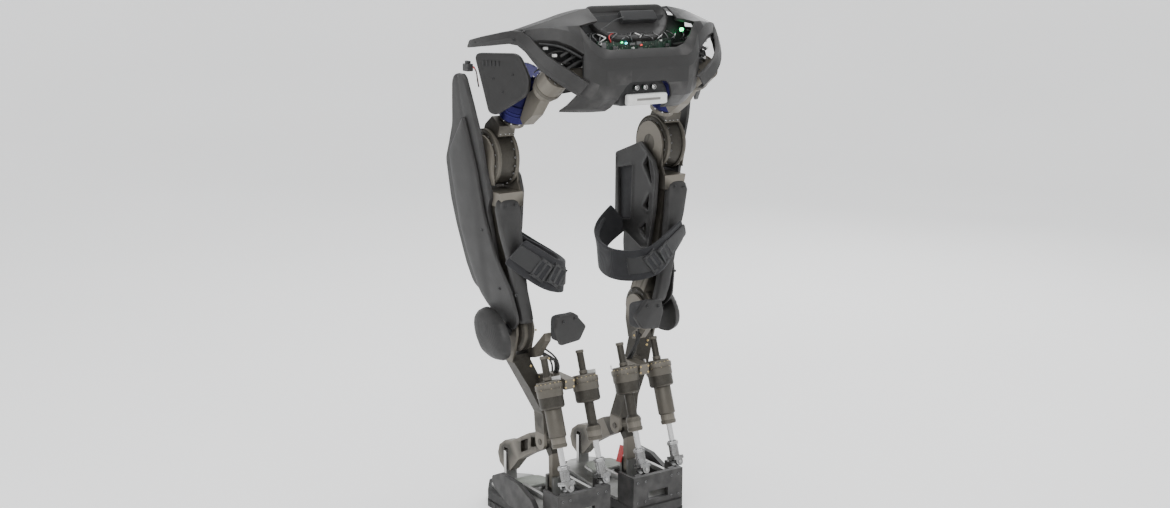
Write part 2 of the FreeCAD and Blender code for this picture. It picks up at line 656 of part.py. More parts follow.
def shin_pad():
    """The soft shin rest: two round lobes on one block."""
    lobe = cylinder("shin_lobe", Vector(66, -62, 492), X_AXIS, "20", "40")
    lobe_low = cylinder("shin_lobe_low", Vector(106, -46, 468), X_AXIS, "18", "29")
    body = block("shin_block", (66, -70, 440), (146, -36, 476))
    leg(fused("shin_pad_body", [lobe, lobe_low, body]), "shin_pad")


def drive_placement(x):
    """Where an ankle drive sits: its trunnion axis, with its own axis leaning forward at the top."""
    return Placement(Vector(x, D["drive_y"], D["drive_z"]), Rotation(X_AXIS, -D["drive_lean"]))


def ankle_motor(label, x, pin_side):
    """One linear drive: a motor can, the neck and nose of its screw housing, and the screw's cover tube."""
    bore = D["rod_radius"] + D["running_gap"]
    tube, flange, can = D["screw_tube_radius"], D["flange_radius"], D["can_radius"]
    neck, nose = D["neck_radius"], D["nose_radius"]
    body = turning(label + "_body", [(0, 66), (tube - 1, 66), (tube, 65), (tube, 9), (24, 9), (24, 6),
                                     (flange, 5), (flange, -6), (can, -7), (can, -22), (can - 1, -23),
                                     (can - 1, -46), (can - 4, -50), (neck, -52), (neck, -100),
                                     (nose, -106), (nose, -137), (bore, -137), (bore, -44), (0, -44)])
    pin = cylinder(label + "_pin", Vector(0, 0, 0), X_AXIS * pin_side, "Dimensions.trunnion_radius", "40")
    whole = fused(label + "_whole", [body, pin])
    whole.Placement = drive_placement(x)
    leg(whole, label)


def ankle_rod(label, x):
    """The bright rod of one drive."""
    rod = cylinder(label + "_body", Vector(0, 0, 0), Z_AXIS, "Dimensions.rod_radius", "124")
    rod.Placement = drive_placement(x) * Placement(Vector(0, 0, -202), Rotation())
    leg(rod, label)


def clevis(label, x):
    """The fork at the rod's end: a closed sleeve that runs on the rod, two ears and a cross pin."""
    bore = D["rod_radius"] + D["running_gap"]
    sleeve = turning(label + "_sleeve", [(bore, -176), (10, -176), (11, -178), (11, -213), (0, -213), (0,
                                                                                                       -211),
                                         (bore, -211)])
    bridge = block(label + "_bridge", (-13, -15, -220), (13, 15, -212))
    ear_rim = [(-9, -218), (9, -218)] + circle_points(0, -D["drive_reach"], 9, 0, -180, 9)
    ears = []
    for rear in (-15, 8):
        ear = plate(label + "_ear", "XZ_Plane", [ear_rim], "7")
        ear.Placement = Placement(Vector(0, rear + 7, 0), Rotation())
        ears.append(ear)
    pin = cylinder(label + "_cross_pin", Vector(0, -17, -D["drive_reach"]), Y_AXIS, "4", "34")
    whole = fused(label + "_whole", [sleeve, bridge, pin] + ears)
    whole.Placement = drive_placement(x)
    leg(whole, label)


def ankle_arm():
    """The ankle arm: a hub on the shank's ears, an arched band forward, and the two roll bearings."""
    x = D["ankle_x"]
    hub = cylinder("arm_hub", Vector(x - D["hub_width"] / 2, D["ankle_y"], D["ankle_z"]), X_AXIS,
                   "Dimensions.hub_radius", "Dimensions.hub_width")
    pin = cylinder("arm_pin", Vector(x - 26, D["ankle_y"], D["ankle_z"]), X_AXIS,
                   "Dimensions.ankle_pin_radius", "52")
    band_rim = [(20, 209), (52, 204), (92, 192), (130, 172), (166, 152), (200, 144), (226, 126), (234, 104),
                (226, 82), (204, 70), (178, 74), (160, 92), (140, 112), (96, 138), (60, 156), (30, 174)]
    band = side_plate("arm_band", [band_rim], x - D["arm_width"] / 2, "Dimensions.arm_width", 3)
    lug_rim = [(30, 186), (8, 196), (-8, 170), (-8, 88), (6, 88), (8, 160)]
    lug = side_plate("arm_lug", [lug_rim], x - D["arm_width"] / 2, "Dimensions.arm_width", 1)
    pin_front = cylinder("roll_pin", Vector(x, 176, D["roll_z"]), Y_AXIS, "Dimensions.roll_pin_radius",
                         "50")
    slot = block("link_slot", (x - 30, 188, 50), (x + 30, 204, 126))
    bore = cylinder("post_bore", Vector(x, -20, D["roll_z"]), Y_AXIS,
                    "Dimensions.roll_pin_radius + Dimensions.running_gap", "40")
    pocket_rims = [[(60, 190), (84, 184), (84, 160), (60, 168)], [(96, 178), (128, 162), (128, 134), (96,
                                                                                                      150)]]
    pockets = [side_plate("arm_pocket", [rim], x + 4, "20", 3) for rim in pocket_rims]
    cut_arm = cut("arm_cut", fused("arm_whole", [hub, pin, band, lug]), [slot, bore] + pockets)
    leg(fused("ankle_arm_body", [cut_arm, pin_front]), "ankle_arm")


def foot_frame():
    """The foot's chassis: base plate, rear post fork, front link, two rails and the toe plate."""
    x, low = D["ankle_x"], D["sole_height"] + 0.05
    top = low + D["plate_thickness"]
    base = flat_plate("foot_base", [[(39, -104), (165, -104), (165, -54), (176, -46), (176, 60), (160, 190),
                                     (130, 224), (80, 224), (46, 190), (34, 60), (34, -46), (39, -54)]],
                                     low, "Dimensions.plate_thickness", 10)
    parts = [base]
    for rear in (-17, 9):
        parts.append(block("post_ear", (x - 15, rear, top - 1), (x + 15, rear + 8, D["roll_z"] + 12)))
    parts.append(cylinder("post_pin", Vector(x, -17, D["roll_z"]), Y_AXIS, "Dimensions.roll_pin_radius",
                          "34"))
    link = block("front_link", (x - 15, 191, top - 1), (x + 15, 201, 119))
    bore = cylinder("link_bore", Vector(x, 180, D["roll_z"]), Y_AXIS,
                    "Dimensions.roll_pin_radius + Dimensions.running_gap", "40")
    parts.append(cut("front_link_bored", link, [bore]))
    for rail in (46, 158):
        parts.append(block("foot_rail", (rail, -98, D["rail_z"]), (rail + 8, 44, D["rail_z"] + 12)))
        parts.append(block("rail_post", (rail, 26, top - 1), (rail + 8, 44, D["rail_z"] + 1)))
        parts.append(block("rail_foot", (rail, -98, top - 1), (rail + 8, -84, D["rail_z"] + 1)))
    toe = flat_plate("toe_plate", [[(56, 84), (70, 74), (150, 74), (156, 90), (142, 134), (124, 140), (84,
                                                                                                       140),
                                    (60, 122)]], 62, "5", 3)
    parts.append(toe)
    for stand in (62, 140):
        parts.append(block("toe_stand", (stand, 84, top - 1), (stand + 8, 112, 62.5)))
    leg(fused("foot_frame_body", parts), "foot_frame")


def heel_block():
    """The heel: a three-sided wall with a dark band above a windowed bracket."""
    low = D["sole_height"] + 0.05
    rim = [(32, -118), (172, -118), (172, -56), (166, -56), (166, -106), (38, -106), (38, -56), (32, -56)]
    wall = flat_plate("heel_wall", [rim], low, "Dimensions.heel_top - Dimensions.sole_height")
    window = block("heel_window", (74, -130, 54), (130, -100, 74))
    lugs = []
    for x in (D["drive_inner_x"], D["drive_outer_x"]):
        lugs.append(block("clevis_rest", (x - 8, -118, 96), (x + 8, -98, D["heel_top"])))
    leg(fused("heel_block_body", [cut("heel_cut", wall, [window])] + lugs), "heel_block")


def side_guard():
    """The curved bumper along the outside of the foot."""
    rim = [(132, 92), (98, 108), (20, 106), (-38, 84), (-60, 62), (-30, 46), (60, 42), (112, 60), (134, 78)]
    leg(side_plate("guard", [rim], 180.3, "Dimensions.guard_thickness", 8), "side_guard")


def sole():
    """The layered sole: a tread, a groove and a midsole."""
    def rim(inset):
        inner, outer = D["sole_inner_x"] + inset, D["sole_outer_x"] - inset
        heel, toe = D["sole_heel_y"] + inset, D["sole_toe_y"] - inset
        return [(inner, heel + 14), (inner + 14, heel), (outer - 14, heel), (outer, heel + 14), (outer,
                                                                                                 toe - 60),
                (outer - 40, toe), (inner + 40, toe), (inner, toe - 60)]
    tread = flat_plate("sole_tread", [rim(0)], 0, "16", 10)
    groove = flat_plate("sole_groove", [rim(3)], 15.9, "4.2", 10)
    middle = flat_plate("sole_middle", [rim(0.5)], 20, "Dimensions.sole_height - 20", 10)
    leg(fused("sole_body", [tread, groove, middle]), "sole")


def leg_cables():
    """The cable bundle from the knee down the back of the shank to the drives."""
    routes = [[(133.7, 8, 421), (124, -8, 413), (110, -19, 396), (103, -18, 376), (102, -8, 361)],
              [(133.7, 16, 414), (127, 3, 404), (117, -4, 390), (111, -3, 374), (108, 3, 361)]]
    cables = [cord("leg_cable", route, 2.2) for route in routes]
    group = doc.addObject("Part::Compound", "leg_cable_group")
    group.Links = cables
    leg(group, "leg_cables")


def mirror_leg():
    """The left leg: every piece of the right leg, mirrored about x = 0."""
    for source, label in leg_pieces:
        mirrored = doc.addObject("Part::Mirroring", label + "_mirror")
        mirrored.Source = source
        mirrored.Normal = X_AXIS
        keep(mirrored, label + "_left")


def build():
    """Make every piece, then check and write each one."""
    for make in (back_shell, side_rails, hatch_cover, pelvis_frame, electronics, carry_bar,
                 pelvis_cables, hip_swing_drives, hip_yoke, hip_turn_drive, hip_cover, hip_drum,
                 thigh_frame,
                 thigh_rear_cover, thigh_side_cover, thigh_blade, thigh_truss, thigh_cuff, knee_drive,
                 knee_cap,
                 shank_frame, shin_pad):
        make()
    for place, x, pin_side in (("outer", D["drive_outer_x"], -1), ("inner", D["drive_inner_x"], 1)):
        ankle_motor("motor_" + place, x, pin_side)
        ankle_rod("rod_" + place, x)
        clevis("clevis_" + place, x)
    for make in (ankle_arm, foot_frame, heel_block, side_guard, sole, leg_cables):
        make()
    mirror_leg()
    doc.recompute()
    shift = Placement(Vector(0, D["centre_shift"], 0), Rotation())
    for thing in pieces:
        if not thing.Label.endswith("_left"):
            thing.Placement = shift * thing.Placement
    doc.recompute()
    for thing in doc.Objects:
        if "Invalid" in thing.State or "Error" in thing.State:
            raise RuntimeError("failed: %s %s" % (thing.Name, thing.State))
    os.makedirs("parts", exist_ok=True)
    whole = FreeCAD.BoundBox()
    for thing in pieces:
        shape = thing.Shape
        if shape.isNull() or not shape.isValid() or not shape.Solids:
            raise RuntimeError("bad shape: " + thing.Label)
        whole.add(shape.BoundBox)
        shape.exportStep("parts/%s.step" % thing.Label)
        print(thing.Label, len(shape.Solids), round(shape.Volume / 1000, 1), shape.BoundBox)
    print("pieces", len(pieces), whole)


build()
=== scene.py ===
import json
import math
import random

import bmesh
import bpy
from mathutils import Matrix, Vector
from mathutils.geometry import delaunay_2d_cdt


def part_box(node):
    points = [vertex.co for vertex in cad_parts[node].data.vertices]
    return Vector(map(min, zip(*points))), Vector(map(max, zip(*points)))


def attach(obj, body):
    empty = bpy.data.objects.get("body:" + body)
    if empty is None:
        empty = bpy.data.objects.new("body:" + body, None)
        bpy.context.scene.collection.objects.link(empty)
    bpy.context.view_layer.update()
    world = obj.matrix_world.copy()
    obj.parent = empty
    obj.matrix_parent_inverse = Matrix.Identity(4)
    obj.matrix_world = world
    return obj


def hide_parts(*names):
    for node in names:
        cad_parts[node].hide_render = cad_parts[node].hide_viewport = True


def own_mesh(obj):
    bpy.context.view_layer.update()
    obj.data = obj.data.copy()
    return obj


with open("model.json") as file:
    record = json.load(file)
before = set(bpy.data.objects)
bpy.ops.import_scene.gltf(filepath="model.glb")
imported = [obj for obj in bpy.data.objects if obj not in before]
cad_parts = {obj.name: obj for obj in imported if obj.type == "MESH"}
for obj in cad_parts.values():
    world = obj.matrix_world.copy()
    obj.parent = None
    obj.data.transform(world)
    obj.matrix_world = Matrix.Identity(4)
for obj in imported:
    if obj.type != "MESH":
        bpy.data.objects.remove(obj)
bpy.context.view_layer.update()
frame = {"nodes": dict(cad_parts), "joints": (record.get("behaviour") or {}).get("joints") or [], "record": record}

# Lengths below are in millimetres of the design frame: +X to the machine's right, +Y forward, +Z up.
# Its origin lies ANKLE_FORWARD behind the ankle's pitch axis, on the floor, midway between the feet.
MM = 0.001
ANKLE_FORWARD = 25
SIDES = (("right", 1), ("left", -1))
chance = random.Random(7)


def joint(name):
    return next(j for j in frame["joints"] if j["name"] == name)


SHIFT_Y = joint("ankle_pitch_right")["pos_m"][1] / MM - ANKLE_FORWARD


def at(x, y, z):
    """A point of the design frame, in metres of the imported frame."""
    return Vector((x * MM, (y + SHIFT_Y) * MM, z * MM))


def pivot(name):
    """A right-hand joint's place, in millimetres of the design frame."""
    x, y, z = joint(name + "_right")["pos_m"]
    return Vector((x / MM, y / MM - SHIFT_Y, z / MM))


def box_of(node):
    """A node's lowest and highest corners, in millimetres of the design frame."""
    low, high = (corner / MM - Vector((0, SHIFT_Y, 0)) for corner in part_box(node))
    return low, high


SWING, TURN, HIP, KNEE = (pivot(name) for name in ("hip_swing", "hip_turn", "hip_bend", "knee"))
ANKLE, DRIVE = (pivot(name) for name in ("ankle_pitch", "motor_tilt"))
HIP_Y, HIP_Z = HIP.y, HIP.z
KNEE_Y, KNEE_Z = KNEE.y, KNEE.z
ANKLE_Y, ANKLE_Z = ANKLE.y, ANKLE.z
DRIVE_Y, DRIVE_Z = DRIVE.y, DRIVE.z
DRIVE_LEAN = math.asin(-joint("rod_stroke_right")["axis"][1])
# The thigh covers lie on a plane through this place beside the hip axis, with its foot leaning inward.
COVER_LEAN = math.radians(10.8)
COVER_X = 263


# ------------------------------------------------------------------ materials

class Shader:
    """A node material, with short calls for the nodes used here."""

    def __init__(self, name):
        self.material = bpy.data.materials.new(name)
        self.material.use_nodes = True
        self.nodes = self.material.node_tree.nodes
        self.links = self.material.node_tree.links
        self.surface = self.nodes["Principled BSDF"]
        self.place = self.nodes.new("ShaderNodeTexCoord").outputs["Object"]

    def new(self, kind, **values):
        node = self.nodes.new("ShaderNode" + kind)
        for name, value in values.items():
            setattr(node, name, value)
        return node

    def join(self, source, target):
        self.links.new(source, target)

    def noise(self, scale, detail=3.0, stretch=None):
        texture = self.new("TexNoise")
        texture.inputs["Scale"].default_value = scale
        texture.inputs["Detail"].default_value = detail
        source = self.place
        if stretch:
            mapping = self.new("Mapping")
            mapping.inputs["Scale"].default_value = stretch
            self.join(self.place, mapping.inputs["Vector"])
            source = mapping.outputs["Vector"]
        self.join(source, texture.inputs["Vector"])
        return texture.outputs["Fac"]

    def ramp(self, source, stops):
        ramp = self.new("ValToRGB")
        self.join(source, ramp.inputs["Fac"])
        elements = ramp.color_ramp.elements
        while len(elements) < len(stops):
            elements.new(0.5)
        for element, (position, colour) in zip(elements, stops):
            element.position = position
            element.color = (*colour, 1)
        return ramp.outputs["Color"]

    def mix(self, amount, first, second, blend="MIX"):
        mix = self.new("MixRGB", blend_type=blend)
        for value, socket in ((amount, "Fac"), (first, "Color1"), (second, "Color2")):
            if isinstance(value, bpy.types.NodeSocket):
                self.join(value, mix.inputs[socket])
            elif socket == "Fac":
                mix.inputs[socket].default_value = value
            else:
                mix.inputs[socket].default_value = (*value, 1)
        return mix.outputs["Color"]

    def colour(self, source):
        self.join(source, self.surface.inputs["Base Color"])

    def roughness(self, source, low, high):
        span = self.new("MapRange")
        self.join(source, span.inputs["Value"])
        span.inputs["To Min"].default_value = low
        span.inputs["To Max"].default_value = high
        self.join(span.outputs["Result"], self.surface.inputs["Roughness"])

    def bump(self, source, strength, distance, under=None):
        node = self.new("Bump")
        node.inputs["Strength"].default_value = strength
        node.inputs["Distance"].default_value = distance
        self.join(source, node.inputs["Height"])
        if under:
            self.join(under, node.inputs["Normal"])
        self.join(node.outputs["Normal"], self.surface.inputs["Normal"])
        return node.outputs["Normal"]

    def set(self, **values):
        for name, value in values.items():
            self.surface.inputs[name.replace("_", " ")].default_value = value


def moulded_plastic(name, base, highlight_and_wear, low, high):
    """Textured moulded plastic: fine grain, slow colour drift, scuffs, and paler edges painted as rim highlights.
    """
    s = Shader(name)
    drift = s.noise(9, 4)
    tone = s.ramp(drift, [(0.3, [c * 0.93 for c in base]), (0.7, [c * 1.07 for c in base])])
    speckle = s.ramp(s.noise(1500, 2), [(0.42, (0.82, 0.82, 0.82)), (0.62, (1.12, 1.12, 1.12))])
    tone = s.mix(1.0, tone, speckle, "MULTIPLY")
    # Painted highlight: the colour is paler on edges found by pointiness, standing in for rim highlights; the
    # scuffs below use the same pale colour for real wear.
    edge = s.ramp(s.new("NewGeometry").outputs["Pointiness"], [(0.515, (0, 0, 0)), (0.60, (1, 1, 1))])
    patch = s.ramp(s.noise(40, 5), [(0.35, (0, 0, 0)), (0.65, (1, 1, 1))])
    tone = s.mix(s.mix(1.0, edge, patch, "MULTIPLY"), tone, highlight_and_wear)
    scuff = s.ramp(s.noise(26, 8, (1, 1, 5)), [(0.70, (0, 0, 0)), (0.80, (0.3, 0.3, 0.3))])
    s.colour(s.mix(scuff, tone, highlight_and_wear))
    s.roughness(s.noise(30, 5), low, high)
    under = s.bump(s.noise(1900, 2), 0.25, 0.00025)
    s.bump(s.noise(120, 4), 0.08, 0.0006, under)
    s.set(Specular_IOR_Level=0.45)
    return s.material


def anodised_metal(name, base, highlight_and_wear, low, high, metallic=0.8):
    """Machined and anodised alloy: tool marks, tone drift, and bright edges painted as rim highlights."""
    s = Shader(name)
    tone = s.ramp(s.noise(14, 4), [(0.3, [c * 0.90 for c in base]), (0.7, [c * 1.10 for c in base])])
    grain = s.ramp(s.noise(700, 3, (1, 1, 0.15)), [(0.35, (0.85, 0.85, 0.85)), (0.65, (1.12, 1.12, 1.12))])
    tone = s.mix(1.0, tone, grain, "MULTIPLY")
    # Painted highlight: the colour is brighter on edges found by pointiness, standing in for rim highlights.
    edge = s.ramp(s.new("NewGeometry").outputs["Pointiness"], [(0.52, (0, 0, 0)), (0.62, (1, 1, 1))])
    grime = s.ramp(s.noise(55, 6), [(0.30, (0.78, 0.77, 0.75)), (0.55, (1, 1, 1))])
    tone = s.mix(1.0, tone, grime, "MULTIPLY")
    s.colour(s.mix(edge, tone, highlight_and_wear))
    s.roughness(s.noise(90, 5), low, high)
    s.bump(s.noise(900, 3, (1, 1, 0.12)), 0.18, 0.0002)
    s.set(Metallic=metallic)
    return s.material


def woven_webbing():
    """Black webbing: ribs across the band, a fine weave, and a soft sheen."""
    s = Shader("webbing")
    wave = s.new("TexWave", wave_type="BANDS", bands_direction="Z")
    wave.inputs["Scale"].default_value = 190
    wave.inputs["Distortion"].default_value = 0.4
    s.join(s.place, wave.inputs["Vector"])
    cross = s.new("TexWave", wave_type="BANDS", bands_direction="X")
    cross.inputs["Scale"].default_value = 260
    s.join(s.place, cross.inputs["Vector"])
    weave = s.mix(0.5, wave.outputs["Color"], cross.outputs["Color"])
    thread = s.ramp(weave, [(0.2, (0.004, 0.004, 0.005)), (0.8, (0.015, 0.015, 0.018))])
    lint = s.ramp(s.noise(500, 6), [(0.66, (0, 0, 0)), (0.78, (0.2, 0.2, 0.2))])
    s.colour(s.mix(lint, thread, (0.07, 0.07, 0.075)))
    s.roughness(s.noise(60, 4), 0.72, 0.95)
    s.bump(weave, 0.5, 0.0006)
    s.set(Sheen_Weight=0.12, Sheen_Roughness=0.5)
    return s.material


def soft_foam():
    """Moulded closed-cell foam: a dull skin with pores, darkened in colour as painted shade."""
    s = Shader("soft_foam")
    tone = s.ramp(s.noise(30, 5), [(0.3, (0.020, 0.020, 0.021)), (0.7, (0.042, 0.042, 0.043))])
    pores = s.new("TexVoronoi")
    pores.inputs["Scale"].default_value = 900
    s.join(s.place, pores.inputs["Vector"])
    # Painted shade: the colour is darker at the pores, where shade falls in the pits.
    pore_shade = s.ramp(pores.outputs["Distance"], [(0.05, (0.5, 0.5, 0.5)), (0.35, (1, 1, 1))])
    s.colour(s.mix(1.0, tone, pore_shade, "MULTIPLY"))
    s.roughness(s.noise(80, 4), 0.75, 0.95)
    s.bump(pores.outputs["Distance"], 0.35, 0.0004)
    return s.material


def sole_rubber():
    """Moulded rubber: dark, dusty in patches, finely pitted."""
    s = Shader("sole_rubber")
    tone = s.ramp(s.noise(18, 5), [(0.3, (0.016, 0.016, 0.016)), (0.7, (0.040, 0.039, 0.038))])
    dust = s.ramp(s.noise(45, 8), [(0.58, (0, 0, 0)), (0.75, (0.4, 0.4, 0.4))])
    s.colour(s.mix(dust, tone, (0.12, 0.115, 0.11)))
    s.roughness(s.noise(70, 5), 0.6, 0.92)
    s.bump(s.noise(700, 4), 0.3, 0.0005)
    return s.material


def circuit_board():
    """Dark green board with pads and traces."""
    s = Shader("circuit_board")
    pads = s.new("TexVoronoi")
    pads.inputs["Scale"].default_value = 170
    s.join(s.place, pads.inputs["Vector"])
    chip = s.ramp(pads.outputs["Distance"], [(0.18, (0.45, 0.42, 0.34)), (0.24, (0.010, 0.030, 0.018))])
    trace = s.ramp(s.noise(260, 2, (1, 1, 0.2)), [(0.48, (0.006, 0.018, 0.012)), (0.54, (0.02, 0.07, 0.04))])
    s.colour(s.mix(0.5, chip, trace))
    s.roughness(s.noise(50, 3), 0.25, 0.55)
    s.bump(pads.outputs["Distance"], 0.4, 0.001)
    return s.material


def lamp(name, colour, strength):
    """A small lit indicator."""
    s = Shader(name)
    glow = s.ramp(s.noise(300, 2), [(0.3, [c * 0.7 for c in colour]), (0.7, colour)])
    s.colour(glow)
    s.join(glow, s.surface.inputs["Emission Color"])
    s.set(Emission_Strength=strength)
    return s.material


PLASTIC = moulded_plastic("charcoal_plastic", (0.0150, 0.0144, 0.0140), (0.042, 0.040, 0.039), 0.44, 0.60)
DARK_PLASTIC = moulded_plastic("black_plastic", (0.011, 0.011, 0.0115), (0.05, 0.05, 0.05), 0.42, 0.62)
PALE = moulded_plastic("pale_plastic", (0.60, 0.60, 0.585), (0.75, 0.75, 0.73), 0.28, 0.45)
WHITE = moulded_plastic("white_label", (0.72, 0.72, 0.70), (0.8, 0.8, 0.8), 0.35, 0.5)
RED = moulded_plastic("red_tag", (0.45, 0.015, 0.02), (0.6, 0.08, 0.08), 0.35, 0.5)
GREEN_PLATE = moulded_plastic("toe_plate_coat", (0.20, 0.215, 0.185), (0.35, 0.36, 0.33), 0.4, 0.6)
BRONZE = anodised_metal("bronze_alloy", (0.042, 0.038, 0.031), (0.17, 0.155, 0.13), 0.40, 0.58, 0.55)
DARK_METAL = anodised_metal("dark_alloy", (0.085, 0.080, 0.075), (0.35, 0.34, 0.32), 0.36, 0.55)
BLUE = anodised_metal("blue_alloy", (0.004, 0.0025, 0.038), (0.03, 0.026, 0.14), 0.25, 0.42)
BRIGHT = anodised_metal("bright_alloy", (0.20, 0.20, 0.19), (0.62, 0.62, 0.61), 0.28, 0.45, 0.85)
STEEL = anodised_metal("bright_steel", (0.26, 0.26, 0.26), (0.6, 0.6, 0.6), 0.20, 0.34, 1.0)
BLACK_STEEL = anodised_metal("black_steel", (0.035, 0.035, 0.036), (0.25, 0.25, 0.25), 0.30, 0.48)
BRASS = anodised_metal("brass", (0.55, 0.40, 0.16), (0.8, 0.65, 0.35), 0.22, 0.4, 1.0)
WEBBING = woven_webbing()
FOAM = soft_foam()
RUBBER = sole_rubber()
BOARD = circuit_board()
GREEN_LAMP = lamp("green_lamp", (0.02, 0.9, 0.25), 9)
CYAN_LAMP = lamp("cyan_lamp", (0.1, 0.8, 0.85), 4)
RED_LAMP = lamp("red_lamp", (0.8, 0.06, 0.05), 2)


# ------------------------------------------------------------------ mesh helpers

class Build:
    """Collects faces in the design frame; one Build becomes one mesh object."""

    def __init__(self):
        self.points = []
        self.faces = []

    def add(self, points, faces):
        start = len(self.points)
        self.points.extend(Vector(p) for p in points)
        self.faces.extend([start + i for i in face] for face in faces)
        return self

    def grid(self, rows, closed=False):
        """Quads between rows of equally many points; closed joins each row's end to its start."""
        count = len(rows[0])
        faces = []
        for r in range(len(rows) - 1):
            for c in range(count if closed else count - 1):
                n = (c + 1) % count
                faces.append([r * count + c, r * count + n, (r + 1) * count + n, (r + 1) * count + c])
        return self.add([p for row in rows for p in row], faces)

    def loft(self, rings):
        """A closed solid through rings of equally many points."""
        count = len(rings[0])
        self.grid(rings, closed=True)
        start = len(self.points) - count * len(rings)
        self.faces.append([start + i for i in reversed(range(count))])
        self.faces.append([start + count * (len(rings) - 1) + i for i in range(count)])
        return self


def place_object(name, build, body, material, sign=1, smooth=True, bevel=0.0, subdivide=0, thick=0.0,
                 node=None, crease=30):
    """Makes the mesh object, mirrored for the left side, with its modifiers, material and body."""
    mesh = bpy.data.meshes.new(name)
    points = [at(sign * p.x, p.y, p.z) for p in build.points]
    faces = build.faces if sign > 0 else [list(reversed(face)) for face in build.faces]
    mesh.from_pydata(points, [], faces)
    work = bmesh.new()
    work.from_mesh(mesh)
    bmesh.ops.remove_doubles(work, verts=work.verts, dist=0.00002)
    bmesh.ops.recalc_face_normals(work, faces=work.faces)
    work.to_mesh(mesh)
    work.free()
    thing = bpy.data.objects.new(name, mesh)
    bpy.context.scene.collection.objects.link(thing)
    mesh.materials.append(material)
    for polygon in mesh.polygons:
        polygon.use_smooth = smooth
    if thick:
        solid = thing.modifiers.new("wall", "SOLIDIFY")
        solid.thickness = thick * MM
        solid.offset = -1
        solid.use_even_offset = True
    if bevel:
        round_edges = thing.modifiers.new("edges", "BEVEL")
        round_edges.width = bevel * MM
        round_edges.segments = 2
        round_edges.limit_method = "ANGLE"
        round_edges.angle_limit = math.radians(crease)
    if subdivide:
        smoother = thing.modifiers.new("smooth", "SUBSURF")
        smoother.levels = subdivide
        smoother.render_levels = subdivide
    if smooth and not subdivide:
        mesh.set_sharp_from_angle(angle=math.radians(crease + 5))
    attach(thing, body)
    if node:
        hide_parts(*([node] if isinstance(node, str) else node))
    return thing


def basis(centre, along, across=None):
    """A matrix whose Z runs along an axis, at a centre in the design frame."""
    z = Vector(along).normalized()
    hint = Vector(across) if across else (Vector((0, 0, 1)) if abs(z.z) < 0.9 else Vector((0, 1, 0)))
    x = (hint - z * hint.dot(z)).normalized()
    y = z.cross(x)
    turn = Matrix((x, y, z)).transposed()
    return Matrix.Translation(Vector(centre)) @ turn.to_4x4()


def lathe(build, profile, place, steps=48, phase=0.0):
    """A turned solid from (radius, height) points, about the Z of a matrix."""
    rings = []
    for radius, height in profile:
        ring = []
        for i in range(steps):
            a = 2 * math.pi * (i + phase) / steps
            ring.append(place @ Vector((radius * math.cos(a), radius * math.sin(a), height)))
        rings.append(ring)
    return build.loft(rings)


def screw(build, centre, normal, radius=2.6, height=1.6):
    """A socket-head screw: a chamfered head with a six-sided recess."""
    place = basis(centre, normal)
    lathe(build, [(radius, -1.5), (radius, height * 0.7), (radius * 0.82, height), (radius * 0.52, height),
                  (radius * 0.50, height * 0.15), (0.05, height * 0.12)], place, 12)
    return build


def bolt_ring(build, centre, axis, radius, count, size, phase=0.0):
    """Screws on a circle about an axis."""
    place = basis(centre, axis)
    for i in range(count):
        a = 2 * math.pi * (i + phase) / count
        screw(build, place @ Vector((radius * math.cos(a), radius * math.sin(a), 0)), axis, size, size * 0.6)
    return build


def slab(build, low, high, place=Matrix.Identity(4)):
    """A box between two corners, in the frame of a matrix."""
    corners = [Vector((x, y, z)) for z in (low[2], high[2]) for y in (low[1],
                                                                      high[1]) for x in (low[0], high[0])]
    faces = [[0, 2, 3, 1], [4, 5, 7, 6], [0, 1, 5, 4], [2, 6, 7, 3], [0, 4, 6, 2], [1, 3, 7, 5]]
    return build.add([place @ c for c in corners], faces)


def rounded(outline, radius, steps=5):
    """An outline of 2-D points with its corners rounded by short curves."""
    made = []
    count = len(outline)
    for i, corner in enumerate(outline):
        p = Vector(corner)
        before = Vector(outline[i - 1]) - p
        after = Vector(outline[(i + 1) % count]) - p
        reach = min(radius, 0.45 * before.length, 0.45 * after.length)
        first = p + before.normalized() * reach
        last = p + after.normalized() * reach
        for s in range(steps + 1):
            t = s / steps
            made.append(first * (1 - t) ** 2 + p * 2 * t * (1 - t) + last * t ** 2)
    return made


def along_outline(outline, spacing):
    """The outline's points, with more added so that none are further apart than the spacing."""
    made = []
    for i, p in enumerate(outline):
        q = outline[(i + 1) % len(outline)]
        count = max(1, math.ceil((q - p).length / spacing))
        made.extend(p.lerp(q, s / count) for s in range(count))
    return made


def inside(p, outline):
    """Whether a 2-D point is inside an outline."""
    hit = False
    for i, a in enumerate(outline):
        b = outline[i - 1]
        if (a.y > p.y) != (b.y > p.y) and p.x < (b.x - a.x) * (p.y - a.y) / (b.y - a.y) + a.x:
            hit = not hit
    return hit


def edge_distance(p, outline):
    """How far a 2-D point is from an outline."""
    best = 1e9
    for i, b in enumerate(outline):
        a = outline[i - 1]
        span = b - a
        t = max(0.0, min(1.0, (p - a).dot(span) / max(span.length_squared, 1e-9)))
        best = min(best, (a + span * t - p).length)
    return best


